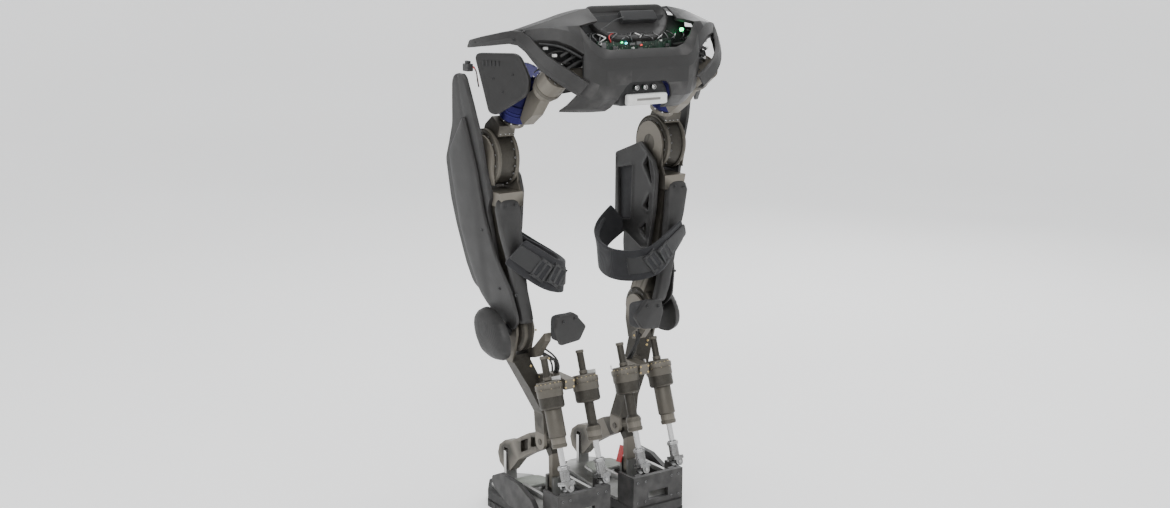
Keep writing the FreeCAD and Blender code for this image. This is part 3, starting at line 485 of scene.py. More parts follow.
def crowned_plate(outline, place, thick, crown, edge=3.0, spacing=6.0, radius=8.0, holes=(), relief=None,
                  reach=28.0):
    """A moulded plate: flat behind, rounded at its rim, and crowned in front.  Outline and holes are 2-D
    points in the X and Y of the matrix, whose Z points out of the front.  relief(x, y, distance) adds
    height."""
    rims = [along_outline(rounded(outline, radius), spacing)]
    rims += [along_outline(rounded(hole, radius * 0.6), spacing) for hole in holes]
    points = [p for rim in rims for p in rim]
    edges = []
    start = 0
    for rim in rims:
        edges += [(start + i, start + (i + 1) % len(rim)) for i in range(len(rim))]
        start += len(rim)
    bounds = [min(p.x for p in rims[0]), max(p.x for p in rims[0]), min(p.y for p in rims[0]),
              max(p.y for p in rims[0])]
    inner = []
    for inset in (0.35 * edge, edge, 1.6 * edge):
        inner.append(inset)
    row = 0
    y = bounds[2] + spacing / 2
    while y < bounds[3]:
        x = bounds[0] + spacing / 2 + (row % 2) * spacing / 2
        while x < bounds[1]:
            p = Vector((x, y))
            if inside(p, rims[0]) and not any(inside(p, rim) for rim in rims[1:]):
                if min(edge_distance(p, rim) for rim in rims) > 1.9 * edge:
                    points.append(p)
            x += spacing
        y += spacing * 0.87
        row += 1
    for inset in inner:
        for rim in rims:
            for i, p in enumerate(rim):
                way = rim[(i + 1) % len(rim)] - rim[i - 1]
                normal = Vector((-way.y, way.x)).normalized() * inset
                for q in (p + normal, p - normal):
                    if inside(q, rims[0]) and not any(inside(q, other) for other in rims[1:]):
                        if min(edge_distance(q, other) for other in rims) > 0.9 * inset:
                            points.append(q)
    flat, _, faces, _, _, _ = delaunay_2d_cdt(points, edges, [], 1, 0.01)
    kept = []
    for face in faces:
        middle = sum((flat[i] for i in face), Vector((0, 0))) / len(face)
        if inside(middle, rims[0]) and not any(inside(middle, rim) for rim in rims[1:]):
            kept.append(list(face))
    heights = []
    for p in flat:
        d = min(edge_distance(p, rim) for rim in rims)
        fall = edge * (1 - math.sqrt(max(0.0, 1 - (1 - min(d, edge) / edge) ** 2)))
        h = thick - fall + crown * (1 - math.exp(-d / reach))
        if relief:
            h += relief(p.x, p.y, d)
        heights.append(h)
    count = len(flat)
    front = [place @ Vector((p.x, p.y, h)) for p, h in zip(flat, heights)]
    back = [place @ Vector((p.x, p.y, 0)) for p in flat]
    used = {}
    for face in kept:
        for i in range(len(face)):
            pair = (face[i], face[(i + 1) % len(face)])
            used[pair] = True
    walls = [[a, b, b + count, a + count] for a, b in used if (b, a) not in used]
    build = Build()
    build.add(front + back,
              [list(reversed(f)) for f in kept] + [[i + count for i in f] for f in kept] + walls)
    return build


def tube(name, points, radius, body, material, sign=1, node=None):
    """A bent tube or cable through points of the design frame, as a smooth curve."""
    data = bpy.data.curves.new(name, "CURVE")
    data.dimensions = "3D"
    data.bevel_depth = radius * MM
    data.bevel_resolution = 3
    data.resolution_u = 8
    data.use_fill_caps = True
    spline = data.splines.new("NURBS")
    spline.points.add(len(points) - 1)
    for target, (x, y, z) in zip(spline.points, points):
        target.co = (*at(sign * x, y, z), 1)
    spline.order_u = 3
    spline.use_endpoint_u = True
    data.materials.append(material)
    thing = bpy.data.objects.new(name, data)
    bpy.context.scene.collection.objects.link(thing)
    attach(thing, body)
    if node:
        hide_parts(node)
    return thing


def finish_node(name, material, bevel=0.8):
    """A CAD node keeps its shape, and gets its material and softened edges."""
    thing = frame["nodes"][name]
    thing.data.materials.clear()
    thing.data.materials.append(material)
    if bevel:
        edges = thing.modifiers.new("edges", "BEVEL")
        edges.width = bevel * MM
        edges.segments = 2
        edges.limit_method = "ANGLE"
        edges.angle_limit = math.radians(32)


# ------------------------------------------------------------------ camera, floor and light

def make_camera():
    data = bpy.data.cameras.new("camera")
    data.sensor_width = 36
    data.lens = 45.34
    data.clip_end = 60
    camera = bpy.data.objects.new("camera", data)
    bpy.context.scene.collection.objects.link(camera)
    camera.location = at(-1827.3, -2673.6, 1303.5)
    camera.rotation_euler = (math.radians(90 - 11.961), 0, math.radians(-34.038))
    bpy.context.scene.camera = camera


def area_light(name, place, target, size, power):
    data = bpy.data.lights.new(name, "AREA")
    data.shape = "DISK"
    data.size = size
    data.energy = power
    thing = bpy.data.objects.new(name, data)
    bpy.context.scene.collection.objects.link(thing)
    thing.location = place
    thing.rotation_euler = (Vector(target) - Vector(place)).to_track_quat("-Z", "Y").to_euler()


def make_studio():
    bowl = [(0.01, 0), (3, 0), (6, 0), (7, 0.08), (8, 0.4), (8.8, 1), (9.4, 2), (9.7, 3.5), (9.8, 6)]
    turns = 96
    points = [(r * math.cos(2 * math.pi * k / turns), r * math.sin(2 * math.pi * k / turns), z)
              for r, z in bowl for k in range(turns)]
    faces = [[i * turns + k, i * turns + (k + 1) % turns, (i + 1) * turns + (k + 1) % turns,
              (i + 1) * turns + k]
             for i in range(len(bowl) - 1) for k in range(turns)]
    floor_mesh = bpy.data.meshes.new("floor")
    floor_mesh.from_pydata(points, [], faces)
    for polygon in floor_mesh.polygons:
        polygon.use_smooth = True
    floor = bpy.data.objects.new("floor", floor_mesh)
    bpy.context.scene.collection.objects.link(floor)
    s = Shader("floor_paint")
    s.colour(s.ramp(s.noise(0.6, 2), [(0.3, (0.74, 0.74, 0.74)), (0.7, (0.78, 0.78, 0.78))]))
    s.set(Roughness=0.9, Specular_IOR_Level=0.05, Emission_Color=(1, 1, 1, 1), Emission_Strength=0.50)
    floor_mesh.materials.append(s.material)
    world = bpy.data.worlds.new("studio")
    world.use_nodes = True
    world.node_tree.nodes["Background"].inputs["Color"].default_value = (0.92, 0.94, 0.96, 1)
    world.node_tree.nodes["Background"].inputs["Strength"].default_value = 0.8
    bpy.context.scene.world = world
    area_light("key", (-2.2, -2.6, 3.6), (0, 0, 0.9), 2.2, 90)
    area_light("top", (0.4, 0.2, 3.8), (0, 0, 0.6), 2.6, 70)
    area_light("rim", (2.8, 1.8, 2.2), (0, 0, 0.9), 1.6, 45)


make_camera()
make_studio()

FINISH = {"charcoal_plastic": PLASTIC, "bronze_alloy": BRONZE, "blue_alloy": BLUE, "bright_alloy": BRIGHT,
          "bright_steel": STEEL, "board_resin": BOARD, "pale_plastic": PALE, "cable_jacket": RUBBER,
          "webbing": WEBBING, "soft_foam": FOAM, "sole_rubber": RUBBER}
for part in frame["record"]["subparts"]:
    finish_node(part["node"], FINISH[part["material_slot"]])


# ------------------------------------------------------------------ pelvis

def carve(thing, build):
    """Cuts a Build's solid out of an object, and keeps only the result."""
    mesh = bpy.data.meshes.new("cutter")
    mesh.from_pydata([at(*p) for p in build.points], [], build.faces)
    work = bmesh.new()
    work.from_mesh(mesh)
    bmesh.ops.recalc_face_normals(work, faces=work.faces)
    work.to_mesh(mesh)
    work.free()
    cutter = bpy.data.objects.new("cutter", mesh)
    bpy.context.scene.collection.objects.link(cutter)
    edges = [m for m in thing.modifiers if m.type == "BEVEL"]
    width = edges[0].width if edges else 0
    crease = edges[0].angle_limit if edges else 0
    for m in edges:
        thing.modifiers.remove(m)
    boolean = thing.modifiers.new("cut", "BOOLEAN")
    boolean.object = cutter
    boolean.solver = "EXACT"
    bpy.context.view_layer.update()
    result = bpy.data.meshes.new_from_object(thing.evaluated_get(bpy.context.evaluated_depsgraph_get()))
    thing.modifiers.clear()
    thing.data = result
    bpy.data.objects.remove(cutter)
    if width:
        again = thing.modifiers.new("edges", "BEVEL")
        again.width = width
        again.segments = 2
        again.limit_method = "ANGLE"
        again.angle_limit = crease


def mirrored(rows):
    """Rows of points for x >= 0, continued to the other side so that each row runs from -x to +x."""
    return [[(-x, y, z) for x, y, z in reversed(row) if x > 0] + list(row) for row in rows]


def smooth_path(path, steps):
    """A Catmull-Rom curve through a path's points."""
    points = []
    for i in range(len(path) - 1):
        p0, p1, p2, p3 = (Vector(path[max(0, min(len(path) - 1, i + k))]) for k in (-1, 0, 1, 2))
        for k in range(steps):
            t = k / steps
            points.append(0.5 * ((2 * p1) + (p2 - p0) * t + (2 * p0 - 5 * p1 + 4 * p2 - p3) * t * t
                                 + (3 * p1 - p0 - 3 * p2 + p3) * t ** 3))
    return points + [Vector(path[-1])]


def prism(outline, low, high, axis="y"):
    """A straight solid from a 2-D outline, along X, Y or Z."""
    order = {"x": lambda p, h: (h, p[0], p[1]), "y": lambda p, h: (p[0], h, p[1]), "z": lambda p,
             h: (p[0], p[1], h)}
    return Build().loft([[order[axis](p, h) for p in outline] for h in (low, high)])


def make_shell():
    low, high = box_of("back_shell")
    rear, sill, brow = low.y - 5, low.z - 1, high.z - 84
    crest = 0.31
    scoop, tuck, lift = 18, 55, 50
    flat_width, edge_width, sill_flare, corner_turn, sill_turn = 105, 148, 12, 20, 22

    def back_row(v):
        """One row across the back, from the brow, v = 0, to the sill, v = 1."""
        above, below = max(0, crest - v) / crest, max(0, v - crest) / (1 - crest)
        y = rear + scoop * above ** 2 + tuck * below ** 4
        z = brow + (sill - brow) * v
        flat = flat_width - 20 * max(0, 1 - v / 0.1)
        edge = edge_width + sill_flare * max(0, v - 0.55) / 0.45
        row = [(0, y, z), (0.4 * flat, y, z), (0.8 * flat, y, z)]
        for c in (0, 0.36, 0.68, 1):
            forward = (corner_turn + sill_turn * max(0, v - 0.7) / 0.3) * c ** 1.5
            row.append((flat + (edge - flat) * c, y + forward, z + lift * (1 - v) * c ** 2))
        return row
    rows = [back_row(v) for v in (0, 0.13, crest, 0.55, 0.78, 0.93, 1)]
    body = Build().grid(mirrored(rows))
    shell = place_object("shell_body", body, "pelvis", PLASTIC, thick=4.5, bevel=3.0, node="back_shell",
                         crease=14)
    mouth = rounded([(-74, 940), (-70, 984), (-52, 1020), (52, 1020), (70, 984), (74, 940)], 14)
    carve(shell, prism(mouth, -230, -120))
    for name, sign in SIDES:
        def roof_row(start, rise, back, drop):
            """One line along the roof from the back's corner, c = 0, out to the side, c = 1."""
            x, y, z = start
            return [(x + (high.x + 3 - x) * c, y + back * c ** 1.3,
                     z + rise * math.sin(math.pi * c) - drop * c)
                    for c in (0, 0.25, 0.5, 0.75, 1)]
        corner, brow_end = rows[1][-1], rows[0][-1]
        top = (brow_end[0], -130, brow_end[2] + 24)
        front = (brow_end[0], -84, brow_end[2] + 20)
        low_end = rows[2][-1]
        roof = Build().grid([roof_row(front, 0, 18, 30), roof_row(top, 0, 26, 31),
                             roof_row(brow_end, 4, 53, 11),
                             roof_row(corner, 12, 67, -15), roof_row(low_end, 15, 67, -24),
                             roof_row((low_end[0] - 5, low_end[1] + 19, low_end[2] - 6), 10, 58, -21)])
        ear = []
        for x, y, z in (front, top, brow_end, (brow_end[0], brow_end[1] + 9, brow_end[2] - 6)):
            ear.append([(x - 46, y + 1, z + 9), (x - 23, y, z + 5), (x, y, z)])
        roof.grid(ear)
        place_object("roof_" + name, roof, "pelvis", PLASTIC, sign, thick=4, bevel=2.6, crease=14)
        rib = [(x, y + 9, z - 8) for x, y, z in roof_row(low_end, 15, 67, -24)[:4]]
        tube("opening_rib_" + name, rib, 3.0, "pelvis", DARK_PLASTIC, sign)
        post = [(x - 5, y + 8, z - 4) for x, y, z in (rows[2][-1], rows[3][-1])]
        tube("opening_post_" + name, post, 3.4, "pelvis", DARK_PLASTIC, sign)
        liner = Build().grid([[(118 + 108 * c * reach, -128 - drop / 20 + 30 * c, 1128 - drop - 10 * c)
                               for c in (0, 0.33, 0.67, 1)] for drop,
                               reach in ((0, 1), (68, 0.8), (126, 0.5))])
        place_object("opening_liner_" + name, liner, "pelvis", DARK_PLASTIC, sign, thick=2, bevel=0.6)
    tray = Build().grid(mirrored([[(150 * c, -128 - 18 * d, 1156 - 96 * d - 10 * c * c) for c in (0, 0.4,
                                                                                                  0.8, 1)]
                                  for d in (0, 0.5, 1)]))
    place_object("slot_liner", tray, "pelvis", DARK_PLASTIC, thick=2, bevel=0.6)
    inlet = rounded([(-66, 970), (-60, 1000), (-44, 1024), (44, 1024), (60, 1000), (66, 970)], 10)
    place_object("inlet_block", prism(inlet, -188, -152), "pelvis", DARK_PLASTIC, bevel=2.0)


def make_rails():
    low, high = box_of("side_rails")
    line = [Vector((high.x - 3, high.y - 6, high.z - 38)), Vector((high.x - 9, -38, high.z - 25)),
            Vector((259, -104, high.z - 19)), Vector((237, -152, 1065)), Vector((205, low.y + 15, 1032)),
            Vector((161, low.y + 7, low.z + 24))]
    centre = smooth_path(line, 3)
    tip_width, widening = 5, 19
    for name, sign in SIDES:
        upper, lower = [], []
        for k, c in enumerate(centre):
            t = k / (len(centre) - 1)
            broad = tip_width + widening * t
            upper.append(c + Vector((-0.75 * broad, -0.3 * broad, 8 + 0.6 * broad)))
            lower.append(c + Vector((-1 - 3 * math.sin(math.pi * t), 2 + 5 * t,
                                     -4 - 9 * math.sin(math.pi * t))))
        rows = [[p + Vector((-6, 6, 1)) for p in upper], upper, centre, lower,
                [p + Vector((-7, 5, -1)) for p in lower]]
        place_object("rail_" + name, Build().grid([[tuple(p) for p in row] for row in rows]), "pelvis",
                     PLASTIC,
                     sign, thick=3, bevel=2.4, node="side_rails" if sign > 0 else None, crease=14)
        plate = Build()
        for x, y, z in ((288, 10, 1099), (262, -98, 1109)):
            screw(plate, (x + 1, y, z), (1, -0.3, 0.15), 3.0, 0.8)
        place_object("rail_screws_" + name, plate, "pelvis", DARK_PLASTIC, sign)


def make_hatch():
    thick, up, back = 33, 0.596, 0.803
    low = box_of("hatch_cover")[0]
    lid = Matrix(((1, 0, 0, 0), (0, up, -back, low.y + back * thick), (0, back, up, low.z - up * thick),
                  (0, 0, 0, 1)))
    outline = [(-58, 0), (58, 0), (90, 24), (109, 58), (96, 86), (-96, 86), (-109, 58), (-90, 24)]

    def recess(x, y, d):
        return -6.5 * min(1.0, max(0.0, (d - 9) / 4))
    pod = crowned_plate(outline, lid, thick, 0.0, 3.5, 7, 18, relief=recess)
    place_object("hatch_pod", pod, "pelvis", PLASTIC, node="hatch_cover")
    box = [(-46, 0), (46, 0), (44, 24), (-44, 24)]
    place = lid @ Matrix.Translation((22, 42, 26))
    place_object("hatch_box", crowned_plate(box, place, 14, 1.0, 2, 5, 3), "pelvis", DARK_PLASTIC)
    tube("hatch_wire", [(-92, -162, 1126), (-72, -156, 1134), (-55, -150, 1141), (-40, -146, 1147),
                        (-22, -145, 1150)], 1.2, "pelvis", DARK_PLASTIC)


def make_pelvis_details():
    lights = ((129, -148, 1120, 4.2, GREEN_LAMP, "green"), (-23, -157, 1097, 2.2, CYAN_LAMP, "cyan"),
              (16, -157, 1092, 1.8, RED_LAMP, "red"), (-34, -157, 1099, 1.4, GREEN_LAMP, "status"))
    for x, y, z, radius, material, name in lights:
        dome = [(radius, -3), (radius, 0), (radius * 0.86, radius * 0.5), (radius * 0.5, radius * 0.86),
                (0.02, radius)]
        place_object("lamp_" + name, lathe(Build(), dome, basis((x, y, z), (0, -1, 0.2)), 20), "pelvis",
                     material)
    chips = Build()
    for k in range(26):
        x = chance.uniform(-92, 92)
        z = chance.uniform(1066, 1100)
        w, h, d = chance.uniform(2, 7), chance.uniform(1.5, 4), chance.uniform(2, 6)
        slab(chips, (x - w, -154 - d, z - h), (x + w, -153.5, z + h))
    place_object("board_chips", chips, "pelvis", BLACK_STEEL, smooth=False, bevel=0.4)
    metal = Build()
    for k in range(12):
        x = chance.uniform(-94, 94)
        z = chance.uniform(1074, 1100)
        slab(metal, (x - 2.2, -160, z - 1.6), (x + 2.2, -153.5, z + 1.6))
    place_object("board_connectors", metal, "pelvis", PALE, smooth=False, bevel=0.4)
    for k in range(22):
        x = -132 + k * 12.5 + chance.uniform(-6, 6)
        ends = [(x, -152, 1100), (x + chance.uniform(-14, 14), -166, 1102 + chance.uniform(-6, 10)),
                (x + chance.uniform(-22, 22), -160, 1112 + chance.uniform(-4, 10)),
                (x + chance.uniform(-26, 26), -140, 1118)]
        tube("slot_wire_%d" % k, ends, 1.3, "pelvis",
             {6: RED, 3: PALE, 11: PALE, 15: STEEL, 19: STEEL}.get(k, BLACK_STEEL))
    rings = Build()
    caps = Build()
    for x in (-22, 0, 22):
        lathe(rings, [(5.6, 0), (5.6, 3), (4.6, 3.8), (3.6, 3.8), (3.4, 0.4)],
              basis((x, -192, 1007), (0, -1, 0)), 24)
        lathe(caps, [(2.4, -2), (2.4, 1.4), (0.05, 1.5)], basis((x, -192, 1007), (0, -1, 0)), 16)
    place_object("socket_rings", rings, "pelvis", STEEL)
    place_object("socket_pins", caps, "pelvis", PALE)
    bar = [(-51, -206), (51, -206), (51, -187), (-51, -187)]
    rim = rounded(bar, 8, 6)
    rings = []
    for z, inset in ((971.5, 4), (972.5, 1.4), (975, 0), (991, 0), (993.5, 1.4), (994.5, 4)):
        rings.append([(p.x * (1 - inset / 51), -196.5 + (p.y + 196.5) * (1 - inset / 9.5), z) for p in rim])
    place_object("bar_body", Build().loft(rings), "pelvis", PALE, node="carry_bar")
    strip = slab(Build(), (-30, -206.6, 981), (30, -205.6, 986))
    place_object("bar_strip", strip, "pelvis", DARK_METAL, smooth=False, bevel=0.3)
    for name, sign in SIDES:
        for i in range(3):
            inner = 112 - 6 * i
            level = 1088 - 14 * i
            tube("pelvis_cable_%d_%s" % (i, name), [(inner, -140, level), (inner + 26, -152, level + 6),
                 (inner + 52, -160, level + 2), (inner + 76, -158, level - 12)], 3, "pelvis", RUBBER, sign,
                 node="pelvis_cables" if i == 0 and sign > 0 else None)
        for i in range(9):
            y = chance.uniform(-150, -120)
            z = chance.uniform(1030, 1085)
            tube("hip_lead_%d_%s" % (i, name), [(150, y, z), (172, y - 14, z + chance.uniform(-16, 16)),
                 (196, y + 4, z + chance.uniform(-10, 20)), (214, y + 22, z - 12)],
                 chance.choice((1.4, 2.2, 3.2)), "pelvis", (DARK_PLASTIC, BLACK_STEEL, RUBBER)[i % 3], sign)
        tags = Build()
        for x, y, z in ((196, -146, 1078), (186, -150, 1058), (206, -128, 1092)):
            slab(tags, (x - 4, y - 6, z - 3), (x + 4, y + 2, z + 3))
        place_object("hip_connectors_" + name, tags, "pelvis", PALE, sign, smooth=False, bevel=0.8)
        swing_axis = (0, 0.819, -0.574)
        bolts = bolt_ring(Build(), SWING - Vector(swing_axis) * 22, Vector(swing_axis) * -1,
                          23, 10, 2.3)
        place_object("swing_bolts_" + name, bolts, "pelvis", BLACK_STEEL, sign)
        band = lathe(Build(), [(30.6, 17), (31.4, 18), (31.4, 26), (30.6, 27), (29, 27), (29, 17)],
                     basis(SWING, swing_axis), 48)
        place_object("swing_band_" + name, band, "pelvis", BRONZE, sign)


# ------------------------------------------------------------------ hips

def hip_cover():
    place = Matrix(((0.5, 0, 0.866, 251), (0.866, 0, -0.5, -46), (0, 1, 0, 0), (0, 0, 0, 1)))
    outline = [(72, 1078), (-36, 1080), (-62, 1026), (-54, 994), (20, 950), (38, 954), (56, 1022)]

    def step(x, y, d):
        edge = min(1.0, max(0.0, (d - 8) / 3))
        upper = 1 if (y > 1000 or x < -20) else max(0.0, (y - 970) / 30)
        return -1.6 * edge * upper
    return crowned_plate(outline, place, 8, 2.5, 3.5, 5, 18, relief=step), place


def make_hips():
    turn_axis = Vector((0, 0.5, -0.866))
    for name, sign in SIDES:
        yoke, link = "hip_yoke_" + name, "hip_link_" + name
        cover, place = hip_cover()
        place_object("hip_shield_" + name, cover, yoke, PLASTIC, sign, node="hip_cover_" + name)
        stand = slab(Build(), (-14, 1004, -26), (10, 1026, 0.5), place)
        place_object("shield_stand_" + name, stand, yoke, DARK_PLASTIC, sign, smooth=False, bevel=2.0)
        heads, dots = Build(), Build()
        for x, y in ((-21, 1035), (25, 1026), (3, 999)):
            screw(heads, place @ Vector((x, y, 8.6)), place @ Vector((0, 0, 1)) - place @ Vector((0, 0, 0)),
                  3, 0.8)
        for k in range(5):
            left = 52 - 9 * k
            slab(dots, (left - 6, 1052, 7.6), (left - 3, 1063, 9.6), place)
        place_object("shield_screws_" + name, heads, yoke, DARK_PLASTIC, sign)
        place_object("shield_slots_" + name, dots, yoke, DARK_PLASTIC, sign, smooth=False, bevel=0.6)
        rings = Build()
        for height in (-54, -46, -38, 30, 38):
            lathe(rings, [(32.6, height), (34.2, height + 1), (34.2, height + 3.4), (32.6, height + 4.4)],
                  basis(TURN, turn_axis), 56)
        place_object("turn_rings_" + name, rings, yoke, BLUE, sign)
        crown = bolt_ring(Build(), TURN - turn_axis * 61, -turn_axis, 26, 12, 2.2)
        bolt_ring(crown, TURN + turn_axis * 60, turn_axis, 29, 10, 1.8)
        place_object("turn_bolts_" + name, crown, yoke, STEEL, sign)
        tube("turn_lead_" + name, [(172, -34, 1020), (160, -60, 1030), (150, -90, 1040), (158, -112, 1052)],
             2.2,
             yoke, DARK_PLASTIC, sign)
        band = Build()
        drum = basis((196, HIP_Y, HIP_Z), (1, 0, 0))
        for low in (2, 47):
            lathe(band, [(62.2, low), (63.2, low + 1), (63.2, low + 6), (62.2, low + 7), (60, low + 7),
                         (60, low)],
                  drum, 72)
        place_object("drum_bands_" + name, band, link, BRONZE, sign)
        heads = Build()
        for k in range(15):
            a = math.radians(40 + 17 * k)
            normal = Vector((0, math.cos(a), math.sin(a)))
            screw(heads, Vector((209, HIP_Y, HIP_Z)) + normal * 61.8, normal, 2.1, 1.2)
        bolt_ring(heads, (196, HIP_Y, HIP_Z), (-1, 0, 0), 52, 14, 2.2)
        bolt_ring(heads, (252, HIP_Y, HIP_Z), (1, 0, 0), 52, 14, 2.2)
        place_object("drum_bolts_" + name, heads, link, BLACK_STEEL, sign)
        nuts = bolt_ring(Build(), TURN + turn_axis * 70, turn_axis, 22, 8, 2.4)
        for z in (905, 915):
            for x in (204, 214, 224, 236):
                screw(nuts, (x, 2, z), (0, -1, 0.1), 2.2, 1.3)
        place_object("neck_bolts_" + name, nuts, link, STEEL, sign)


# ------------------------------------------------------------------ thighs

def cover_frame(offset):
    s, c = math.sin(COVER_LEAN), math.cos(COVER_LEAN)
    return Matrix(((0, s, c, COVER_X + c * offset), (1, 0, 0, 0), (0, c, -s, HIP_Z - s * offset),
                   (0, 0, 0, 1)))


def lowered(outline):
    return [(y, v - HIP_Z) for y, v in outline]


def strap(path, width, thick, lean=0.0, steps=9):
    """Webbing: a rounded flat section swept along a smooth path, its width across the path and upright."""
    points = smooth_path(path, steps)
    centre = Vector((146, 50, 600))
    rings = []
    for i, p in enumerate(points):
        along = (points[min(i + 1, len(points) - 1)] - points[max(i - 1, 0)]).normalized()
        out = Vector((p.x - centre.x, p.y - centre.y, 0)).normalized()
        out = (out - along * out.dot(along)).normalized()
        up = along.cross(out).normalized()
        if up.z < 0:
            up = -up
        up = (up + out * lean).normalized()
        ring = []
        ripple = 1.2 * math.sin(i * 0.55)
        for u, v in ((-1, -0.35), (-0.93, -0.5), (-0.5, -0.5), (0, -0.5), (0.5, -0.5), (0.93, -0.5),
                     (1, -0.35),
                     (1, 0.35), (0.93, 0.5), (0.5, 0.5), (0, 0.5), (-0.5, 0.5), (-0.93, 0.5), (-1, 0.35)):
            bow = ripple * (1 - u * u)
            ring.append(p + up * (u * width / 2) + out * (v * thick + bow))
        rings.append(ring)
    return Build().loft(rings)


def buckle(build, centre, along, out, wide=34, tall=46):
    """A ladder buckle: a rounded frame with two cross bars, round a strap."""
    z = Vector(out).normalized()
    x = (Vector(along) - z * Vector(along).dot(z)).normalized()
    y = z.cross(x)
    place = Matrix.Translation(Vector(centre)) @ Matrix((x, y, z)).transposed().to_4x4()
    bars = ((-wide / 2, wide / 2, tall / 2 - 6, tall / 2), (-wide / 2, wide / 2, -tall / 2, 6 - tall / 2),
            (-wide / 2, 5 - wide / 2, -tall / 2, tall / 2), (wide / 2 - 5, wide / 2, -tall / 2, tall / 2),
            (-3, 3, -tall / 2, tall / 2))
    for x0, x1, y0, y1 in bars:
        slab(build, (x0, y0, -1), (x1, y1, 4.5), place)
    return build


